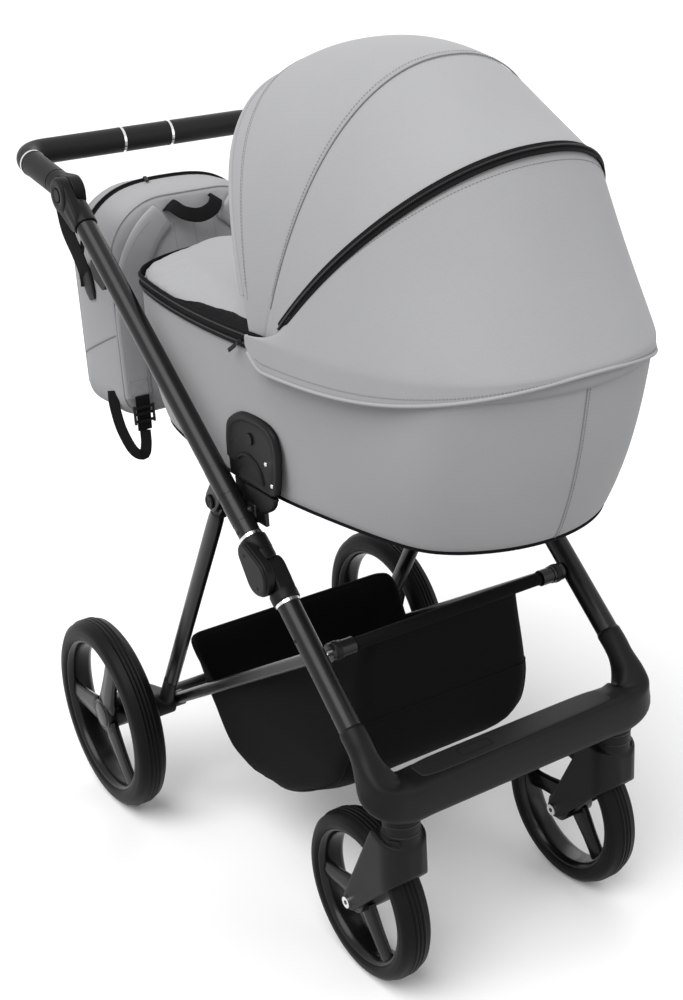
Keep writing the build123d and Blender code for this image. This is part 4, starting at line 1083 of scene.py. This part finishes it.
def make_rim(node, axle, y, s, dia, width, hub_r, hub_out, body):
    """A moulded wheel: a lipped ring, three ridged blades set towards the outside, and a hub with its cap."""
    seat = dia * 0.4 - 0.2
    half = width / 2 - 6
    inner = seat - 7
    centre = beside(axle, y)
    ring = [(-half, seat), (-half - 2, seat + 1.5), (-half - 2.6, seat - 0.5),
            (-half - 1.2, seat - 2.6), (-half + 3, inner + 1), (-half + 6, inner),
            (half - 8, inner), (half - 3, inner + 1), (half + 1.2, seat - 2.6),
            (half + 2.6, seat - 0.5), (half + 2, seat + 1.5), (half, seat)]
    ring = [(s * a, r) for a, r in ring]
    ring.append(ring[0])
    piece = lathe(node + "_ring", ring, centre, (0, 1, 0), "rim_black", body, 96)
    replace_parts(piece, node)
    verts, faces = [], []
    for k in range(3):
        turn = math.radians(SPOKE_TURN + 120 * k)
        ahead = Vector((math.cos(turn), 0, math.sin(turn)))
        across = Vector((-math.sin(turn), 0, math.cos(turn)))
        base = len(verts)
        stations = ((hub_r - 6, 0.92, 17.0, 3.5), (hub_r + 8, 0.84, 17.0, 3.5),
                    (inner * 0.62, 0.72, 16.4, 4.0), (inner * 0.86, 0.7, 16.0, 4.0),
                    (inner + 4, 0.8, 15.6, 4.0))
        for r, w, top, low in stations:
            w *= hub_r
            for a, b in ((-w * 0.8, low), (-w, top - 6), (-w * 0.8, top - 2.5), (-w * 0.08, top),
                         (w * 0.08, top), (w * 0.8, top - 2.5), (w, top - 6), (w * 0.8, low)):
                verts.append(centre + (ahead * r + across * a) * MM + Vector((0, s * b * MM, 0)))
        faces += [tuple(base + i for i in f) for f in grid_faces(len(stations), 8, wrap_cols=True)]
        faces.append(tuple(base + i for i in range(8)))
        faces.append(tuple(base + 8 * (len(stations) - 1) + i for i in reversed(range(8))))
    blades = make_object(node + "_blades", verts, faces, "rim_black", None, smooth=False)
    clean_normals(blades)
    modify(blades, "BEVEL", width=0.9 * MM, segments=2, limit_method="ANGLE")
    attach(smooth_shade(bake_modifiers(blades)), body)
    inside = -width / 2 + 1 if hub_out < width / 2 else -hub_out
    hub = [(inside, 7), (inside, hub_r - 2), (inside + 2, hub_r), (hub_out - 3, hub_r),
           (hub_out - 1.6, hub_r - 1), (hub_out - 1.6, hub_r - 3), (hub_out - 2.5, hub_r - 3.5),
           (hub_out - 2.5, hub_r - 4.2), (hub_out - 1, hub_r - 5), (hub_out - 0.1, hub_r - 8),
           (hub_out, 0.05)]
    lathe(node + "_hub", [(s * a, r) for a, r in hub], centre, (0, 1, 0), "rim_black", body, 64)


REAR_SIZE = (305.0, 48.0)  # the tyre's diameter and width
FRONT_SIZE = (233.0, 46.0)


def make_wheels():
    for side, s in SIDES:
        rear, front = "rear_wheel_" + side, "front_wheel_" + side
        make_rim("rear_rim_" + side, REAR_AXLE, s * REAR_Y, s, *REAR_SIZE, 26.0, 19.0, rear)
        make_rim("front_rim_" + side, FRONT_AXLE, s * FRONT_Y, s, *FRONT_SIZE, 20.0, 25.6, front)
        make_tyre("rear_tyre_" + side, REAR_AXLE, s * REAR_Y, *REAR_SIZE, rear)
        make_tyre("front_tyre_" + side, FRONT_AXLE, s * FRONT_Y, *FRONT_SIZE, front)


# Rigid pieces that carry more detail than their solids


def super_ring(centre, side, lift, a, b, square, count=32):
    """A closed section between a circle and a rounded square."""
    row = []
    for k in range(count):
        t = 2 * math.pi * k / count
        c, n = math.cos(t), math.sin(t)
        u = a * math.copysign(abs(c) ** (2 / square), c)
        v = b * math.copysign(abs(n) ** (2 / square), n)
        row.append(Vector(centre + side * u * MM + lift * v * MM))
    return row


def make_footrest():
    """One smooth moulding from leg to leg, with the castors' housings under it."""
    top, end = lower(224), lower(250)
    half = [beside(top, 207), beside(end, 207), P(667, 206, 345), P(680, 198, 322)]
    half += [P(683, y, 311) for y in (174, 140, 70, 0)]
    flip = Vector((1, -1, 1))
    line = eased(half + [p * flip for p in reversed(half[:-1])], 4.0)
    _, side, lift = frames(line, False, (0, 0, 1))
    rows = []
    for k, p in enumerate(line):
        run = min(k, len(line) - 1 - k) * 4.0
        grow = min(1.0, max(0.0, (run - 30.0) / 78.0))
        grow = grow * grow * (3 - 2 * grow)
        lip = 1.2 if run < 2 else 0.0
        a = 16.6 + (27.6 - 16.6) * grow - lip
        b = 16.6 + (26.8 - 16.6) * grow - lip
        rows.append(super_ring(np.array(p), side[k], lift[k], a, b, 2.0 + 2.6 * grow))
    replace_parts(closed_piece("footrest_shell", rows, "plastic_black", "front_frame"), "footrest")
    profile = [(0.4, 9.0), (0.4, 24.6), (1.2, 25.4), (13, 25.4), (13.6, 24.8), (14.4, 24.8), (15, 25.4),
               (34, 25.4), (36, 22)]
    for name, s in SIDES:
        lathe("footrest_housing_" + name, profile, P(CASTOR_X, s * FRONT_Y, 284), (0, 0, 1), "plastic_black",
              "front_frame", 48)
    rows = []
    for z, inset in ((336.0, 0.0), (338.1, 0.0), (338.7, 0.6), (338.8, 3.0), (338.8, 12.0)):
        rows.append(super_ring(np.array(P(681, 0, z)), np.array((1, 0, 0)), np.array((0, 1, 0)),
                               19.0 - inset, 152.0 - inset, 7, 96))
    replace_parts(closed_piece("footrest_pad", rows, "tread_rubber", "front_frame"), "footrest_tread")
    frame_line = [(-8, -24), (8, -24), (8, 24), (-8, 24)]
    line = resample([P(681 + x, y - 62, 338.8) for x, y in frame_line], 2 * MM, closed=True)
    sweep("footrest_inset", line, ring_section(0.7, 6), "plastic_black", "front_frame", (0, 0, 1),
          closed=True)


def hull_outline(a, ra, b, rb, count=40):
    """The outline round two circles in x and z."""
    ax, az = a
    bx, bz = b
    d = math.hypot(bx - ax, bz - az)
    base = math.atan2(bz - az, bx - ax)
    lean = math.acos((ra - rb) / d)
    pts = []
    arcs = ((ax, az, ra, base + lean, base + 2 * math.pi - lean), (bx, bz, rb, base - lean, base + lean))
    for cx, cz, r, t0, t1 in arcs:
        turns = [t0 + (t1 - t0) * k / count for k in range(count + 1)]
        pts += [(cx + r * math.cos(turn), cz + r * math.sin(turn)) for turn in turns]
    return pts


def layered(outline, layers):
    """An outline in x and z drawn in by each layer's inset, as (y, places) for every layer."""
    pts = np.array(outline)
    centre = pts.mean(0)
    away = pts - centre
    size = np.linalg.norm(away, axis=1)[:, None]
    return [(y, centre + away * np.maximum(size - inset, 0.5) / size) for y, inset in layers]


def side_cap(name, outline, layers, s, mat, body):
    """A low cap on the side of the pram: layers of (y, inset) over an outline."""
    rows = [[P(x, s * y, z) for x, z in pts] for y, pts in layered(outline, layers)]
    return flat_ended(name, rows, mat, body)


def screw(name, x, y, z, s, body, r=3.0, mat="frame_black"):
    """A small socket screw on the side of the pram."""
    profile = [(-1, r), (0.7, r), (1.2, r - 0.5), (1.2, r * 0.55), (0.3, r * 0.5), (0.3, 0.05)]
    return lathe(name, profile, P(x, s * y, z), (0, s, 0), mat, body, 20)


def close_on_tube(obj):
    """Draws a clamp's sleeve in on the upper tube, so that it lies close."""
    along = Vector((math.cos(UPPER_SLOPE), 0, -math.sin(UPPER_SLOPE)))
    for v in obj.data.vertices:
        start = P(HANDLE_PIVOT[0], math.copysign(UPPER_Y, v.co.y), HANDLE_PIVOT[1])
        foot = start + along * (v.co - start).dot(along)
        away = v.co - foot
        if 14.6 * MM < away.length < 17.8 * MM:
            v.co = foot + away.normalized() * 15.35 * MM


def soften(node, body, voxel_mm=1.5, rounds=8, mat="plastic_black"):
    """A moulding with its solid's shape and its edges rounded over."""
    obj = soft_copy(node, node + "_moulding", mat)
    modify(obj, "REMESH", mode="VOXEL", voxel_size=voxel_mm * MM)
    modify(obj, "SMOOTH", factor=0.5, iterations=rounds)
    smooth_shade(bake_modifiers(obj))
    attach(obj, body)
    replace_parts(obj, node)
    return obj


def make_hinge_fairing(side, s):
    """Carries the upper hinge's sleeve down to the round of the lower hinge."""
    reach, r, inner = 31.0, 18.0, 20.9
    rows = []
    for step, size in [(k / 5, 1.0) for k in range(6)] + [(1.0, 0.75), (1.0, 0.4)]:
        row = []
        for k in range(40):
            a = 2 * math.pi * k / 40
            drop, y = r * size * math.cos(a), UPPER_Y + r * size * math.sin(a)
            end = math.sqrt((inner + 4.0 * max(0.0, drop / r - 0.4)) ** 2 - drop * drop)
            x, z = upper(UPPER_LENGTH - reach + (reach - end) * step, drop)
            row.append(P(x, s * y, z))
        rows.append(row)
    closed_piece("fold_fairing_" + side, rows, "plastic_black", "upper_frame")


def make_rear_leg_shell(side, s):
    """The oval outside of a rear leg."""
    top, low = beside(LEG_PIVOT, 0), P(66.0, 0, 175.0)
    along = (low - top).normalized()
    across = np.array((-along.z, 0, along.x))
    length = (low - top).length / MM
    rows = []
    for d, f in ((26, 0.72), (30, 0.82), (40, 0.95), (60, 1.0), (length - 70, 1.0), (length - 66, 0.97)):
        centre = np.array(top + along * d * MM + Vector((0, s * 200.0 * MM, 0)))
        rows.append(super_ring(centre, across, np.array((0, 1, 0)), 12.6 * f, 9.5, 2.2))
    closed_piece("rear_leg_shell_" + side, rows, "frame_black", "rear_frame")


def make_rear_axle():
    """The axle's coated tube, stepped down at the wheels, with a collar inside each bracket."""
    half = [(0, 9.0), (36, 9.0), (37, 11.2), (44, 11.2), (45, 9.0), (176, 9.0), (177, 12.5), (187.6, 12.5),
            (188.4, 11.5), (188.4, 6.0), (276, 6.0), (277, 5.0)]
    profile = [(-a, r) for a, r in reversed(half[1:])] + half
    axle = lathe("rear_axle_tube", profile, beside(REAR_AXLE, 0), (0, 1, 0), "frame_black",
                 "rear_frame", 48)
    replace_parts(axle, "rear_axle")


def make_mouldings():
    make_rear_axle()
    for node in ("leg_pivot_blocks", "chassis_adapters"):
        close_on_tube(soften(node, "upper_frame", 1.2, 6, "frame_black"))
    for node in ("fold_hinge_uppers", "handle_hinge_bases"):
        soften(node, "upper_frame")
    soften("fold_hinge_lowers", "front_frame")
    for side, s in SIDES:
        soften("castor_fork_" + side, "castor_" + side, 1.6, 12)
        soften("rear_bracket_" + side, "rear_frame", 1.5, 12)
        soften("handle_hinge_" + side, "handle")
        make_hinge_fairing(side, s)
        make_rear_leg_shell(side, s)


def make_side_covers():
    for side, s in SIDES:
        high = upper(UPPER_LENGTH - 34)
        outline = hull_outline(FOLD, 25.5, high, 15.5)
        side_cap("fold_cover_" + side, outline, ((229.6, 0), (231.4, 0.4), (232.8, 2.0), (233.4, 4.5)), s,
                 "plastic_black", "upper_frame")
        for k, at in enumerate((upper(UPPER_LENGTH - 33), upper(UPPER_LENGTH + 12, 9))):
            screw("fold_screw_%s_%d" % (side, k), at[0], 233.2, at[1], s, "upper_frame", 2.6)
        leg_screw = lower(96)
        screw("leg_screw_" + side, leg_screw[0], 221.6, leg_screw[1], s, "front_frame", 2.8)
        tube_screw = upper(UPPER_LENGTH - 66)
        screw("tube_screw_" + side, tube_screw[0], 224.6, tube_screw[1], s, "upper_frame", 2.8)
        make_bracket(side, s)
        cap = [(0.2, 9.6), (2.4, 9.6), (3.4, 8.6), (3.4, 6.2),
               (2.7, 5.6), (2.7, 2.8), (3.1, 2.2), (3.1, 0.05)]
        lathe("leg_pivot_cap_" + side, cap, beside(LEG_PIVOT, s * 217), (0, s, 0),
              "plastic_black", "upper_frame", 40)
        knob = [(-8.8, 5.0), (-8.8, 9.2), (-7.0, 11.6), (-3.5, 12.9),
                (1.5, 12.9), (5.5, 11.6), (7.4, 9.2), (8.0, 5.0)]
        knob.append(knob[0])
        lathe("link_knob_" + side, knob, beside(LINK_FRONT, s * 178), (0, s, 0), "plastic_black",
              "side_links", 40)


def make_castor_details():
    """The castors' parting lines, tabs and bolt heads, and the rims of the handle's hubs."""
    for side, s in SIDES:
        body = "castor_" + side
        at = P(CASTOR_X, s * FRONT_Y, 0)
        for k, z in enumerate((262.0, 276.0)):
            ring = [(z - 1.0, 23.0), (z - 0.7, 24.5), (z + 0.7, 24.5), (z + 1.0, 23.0)]
            ring.append(ring[0])
            lathe("castor_line_%s_%d" % (side, k), ring, at, (0, 0, 1), "frame_black", body, 48)
        look = Vector((0.55, s * 0.83, 0)).normalized()
        across = Vector((-look.y, look.x, 0))
        face = at + look * 24.0 * MM
        rows = []
        for out, shrink in ((-1.0, 1.0), (1.2, 1.0), (1.8, 0.85)):
            centre = np.array(face + look * out * MM + Vector((0, 0, 254 * MM)))
            rows.append(super_ring(centre, np.array(across), np.array((0, 0, 1)),
                                   7.5 * shrink, 4.5 * shrink, 5, 24))
        closed_piece("castor_tab_" + side, rows, "plastic_black", body)
        for k, (y, look_y) in enumerate(((FRONT_Y + 37.0, s), (FRONT_Y - 37.0, -s))):
            profile = [(-1, 3.4), (0.3, 3.4), (0.5, 3.0), (0.5, 0.05)]
            lathe("castor_bolt_%s_%d" % (side, k), profile, beside(FRONT_AXLE, s * y),
                  (0, look_y, 0), "frame_black", body, 6)
        hub = [(-1.0, 10.2), (1.6, 10.6), (2.6, 12.5), (2.6, 20.5), (1.4, 23.6), (-1.5, 25.0)]
        hub.append(hub[0])
        lathe("handle_hub_rim_" + side, hub, beside(HANDLE_PIVOT, s * 226.0), (0, s, 0),
              "plastic_black", "upper_frame", 56)


TUBE_CLEAR = 25.0  # nearer to the tube's centre line than this, a plate keeps behind the tube


def tube_gap(x, z):
    """How far a place is from the upper tube's centre line, seen from the side."""
    return abs((x - HANDLE_PIVOT[0]) * math.sin(UPPER_SLOPE) + (z - HANDLE_PIVOT[1]) * math.cos(UPPER_SLOPE))


def shaped_plate(name, outline, layers, s, body, near_tube):
    """A moulded plate: layers of (y, inset), kept behind the upper tube; y None follows the tub."""
    rows = []
    for y, pts in layered(outline, layers):
        row = []
        for x, z in pts:
            at = 175.0 + 27.0 * (z - TUB_BASE_Z) / 220.0 if y is None else y
            row.append(P(x, s * (min(at, near_tube) if tube_gap(x, z) < TUBE_CLEAR else at), z))
        rows.append(row)
    return flat_ended(name, rows, "plastic_black", body)


def plate_line(points):
    """A plate's closed outline in x and z, eased through a few points."""
    line = eased([P(x, 0, z) for x, z in points], 3.0)
    line = resample(line, 3 * MM, closed=True)
    return [(x / MM + ORIGIN_X, z / MM) for x, _, z in line]


PLATE_EDGE = ((458, 641), (467.5, 645.5), (472.5, 660), (476.5, 680), (478, 706), (469, 727), (443, 737.5),
              (401, 738.5), (376, 731.5), (354, 717), (346.5, 695), (345, 668), (346, 641))
PLATE_LAYERS = ((None, 16), (185, 14), (189.5, 2.5), (191, 0), (194, 0), (197.2, 1.3), (198.6, 4), (198.5, 9),
                (196.6, 11.5), (195.3, 13.5), (195.2, 30), (195.2, 45), (195.2, 200))
COVER_EDGE = ((353, 638.4), (454, 638.4), (459.5, 634.5), (456, 626.5), (446, 617.5), (423, 606.5),
              (396, 599.5), (374, 601), (361, 612), (354.5, 626))
COVER_LAYERS = ((186.5, 12), (188.5, 4), (190.5, 0), (193.5, 0), (195.6, 1.5), (196.4, 4.5), (196.6, 12),
                (196.6, 200))
PLATE_SCREWS = ((444, 681, "bright_steel"), (456, 655, "bright_steel"), (357, 690, "frame_black"))
PLATE_FACE_Y = 195.4


def make_bracket(side, s):
    """The tub's plate with its pocket, screws and seat, and the chassis adapter under it."""
    plate = shaped_plate("bracket_plate_" + side, plate_line(PLATE_EDGE), PLATE_LAYERS, s, "bassinet", 194.4)
    if side == "left":
        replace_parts(plate, "tub_brackets")
    turns = [math.radians(a) for a in range(4, 136, 4)]
    arc = [P(398 + 37 * math.cos(a), s * PLATE_FACE_Y, 643 + 37 * math.sin(a)) for a in turns]
    sweep("bracket_seat_" + side, arc, ring_section(2.8, 10), "plastic_black", "bassinet", (0, s, 0))
    for k, (x, z, mat) in enumerate(PLATE_SCREWS):
        screw("bracket_screw_%s_%d" % (side, k), x, PLATE_FACE_Y, z, s, "bassinet", 3.0, mat)
    shaped_plate("adapter_cover_" + side, plate_line(COVER_EDGE), COVER_LAYERS, s, "upper_frame", 192.4)


make_hood()
make_tub()
make_tub_collar()
make_footrest()
make_side_covers()
make_castor_details()
make_mouldings()
make_apron()
make_mattress()
make_basket()
make_bag()
make_wheels()

# Stage, light and camera

FLOOR_GREYS = (0.4, 0.93)  # as it lights the pram, and as the camera sees it
WORLD_STRENGTHS = (0.65, 1.0)
FLOOR_HALF = 40.0


def make_stage():
    mesh = bpy.data.meshes.new("floor")
    s = FLOOR_HALF
    mesh.from_pydata([(-s, -s, 0), (s, -s, 0), (s, s, 0), (-s, s, 0)], [], [(0, 1, 2, 3)])
    floor = bpy.data.objects.new("floor", mesh)
    bpy.context.scene.collection.objects.link(floor)
    m = bpy.data.materials.new("floor")
    m.use_nodes = True
    nt = m.node_tree
    nt.nodes.clear()
    out = nt.nodes.new("ShaderNodeOutputMaterial")
    looks = [nt.nodes.new("ShaderNodeBsdfDiffuse") for _ in range(2)]
    for look, grey in zip(looks, FLOOR_GREYS):
        look.inputs["Color"].default_value = (grey, grey, grey, 1)
    seen_or_lit(nt, looks, out)
    mesh.materials.append(m)

    world = bpy.data.worlds.new("studio")
    bpy.context.scene.world = world
    world.use_nodes = True
    nt = world.node_tree
    nt.nodes.clear()
    out = nt.nodes.new("ShaderNodeOutputWorld")
    looks = [nt.nodes.new("ShaderNodeBackground") for _ in range(2)]
    for look, strength in zip(looks, WORLD_STRENGTHS):
        look.inputs["Color"].default_value = (1, 1, 1, 1)
        look.inputs["Strength"].default_value = strength
    seen_or_lit(nt, looks, out)


def seen_or_lit(nt, looks, out):
    """The second look where the camera sees it, straight, in gloss or through glass; else the first."""
    path = nt.nodes.new("ShaderNodeLightPath")
    seen = maths(nt, "MAXIMUM", path.outputs["Is Camera Ray"], path.outputs["Is Glossy Ray"])
    seen = maths(nt, "MAXIMUM", seen, path.outputs["Is Transmission Ray"])
    mix = nt.nodes.new("ShaderNodeMixShader")
    nt.links.new(seen, mix.inputs[0])
    nt.links.new(looks[0].outputs[0], mix.inputs[1])
    nt.links.new(looks[1].outputs[0], mix.inputs[2])
    nt.links.new(mix.outputs[0], out.inputs[0])


def light(name, kind, at, aim, energy, **values):
    data = bpy.data.lights.new(name, kind)
    data.energy = energy
    for key, value in values.items():
        setattr(data, key, value)
    obj = bpy.data.objects.new(name, data)
    bpy.context.scene.collection.objects.link(obj)
    obj.location = at
    obj.rotation_euler = (Vector(aim) - Vector(at)).to_track_quat("-Z", "Y").to_euler()


def make_camera():
    """The photograph's view, as it was fitted to the wheels, the frame and the tub."""
    data = bpy.data.cameras.new("camera")
    data.sensor_width = 36.0
    data.lens = 55.29
    data.clip_end = 60
    cam = bpy.data.objects.new("camera", data)
    bpy.context.scene.collection.objects.link(cam)
    right = Vector((0.54369694, 0.83737877, -0.05648393))
    up = Vector((-0.28887304, 0.24989948, 0.92417672))
    ahead = Vector((-0.78800127, 0.48615538, -0.37776573))
    at = P(2009.644, -1054.212, 1354.871)
    cam.matrix_world = Matrix(((right.x, up.x, -ahead.x, at.x), (right.y, up.y, -ahead.y, at.y),
                               (right.z, up.z, -ahead.z, at.z), (0, 0, 0, 1)))
    bpy.context.scene.camera = cam


make_stage()
light("key", "SUN", (0, 0, 0), (-0.22, 0.5, -0.84), 2.3, angle=math.radians(50))
light("fill", "AREA", (3.0, 1.6, 1.6), (0.0, 0.0, 0.5), 12, shape="DISK", size=2.4)
light("back", "AREA", (-2.6, 2.4, 2.2), (0.0, 0.0, 0.6), 22, shape="DISK", size=2.4)
make_camera()
bpy.context.scene.view_settings.view_transform = "Standard"
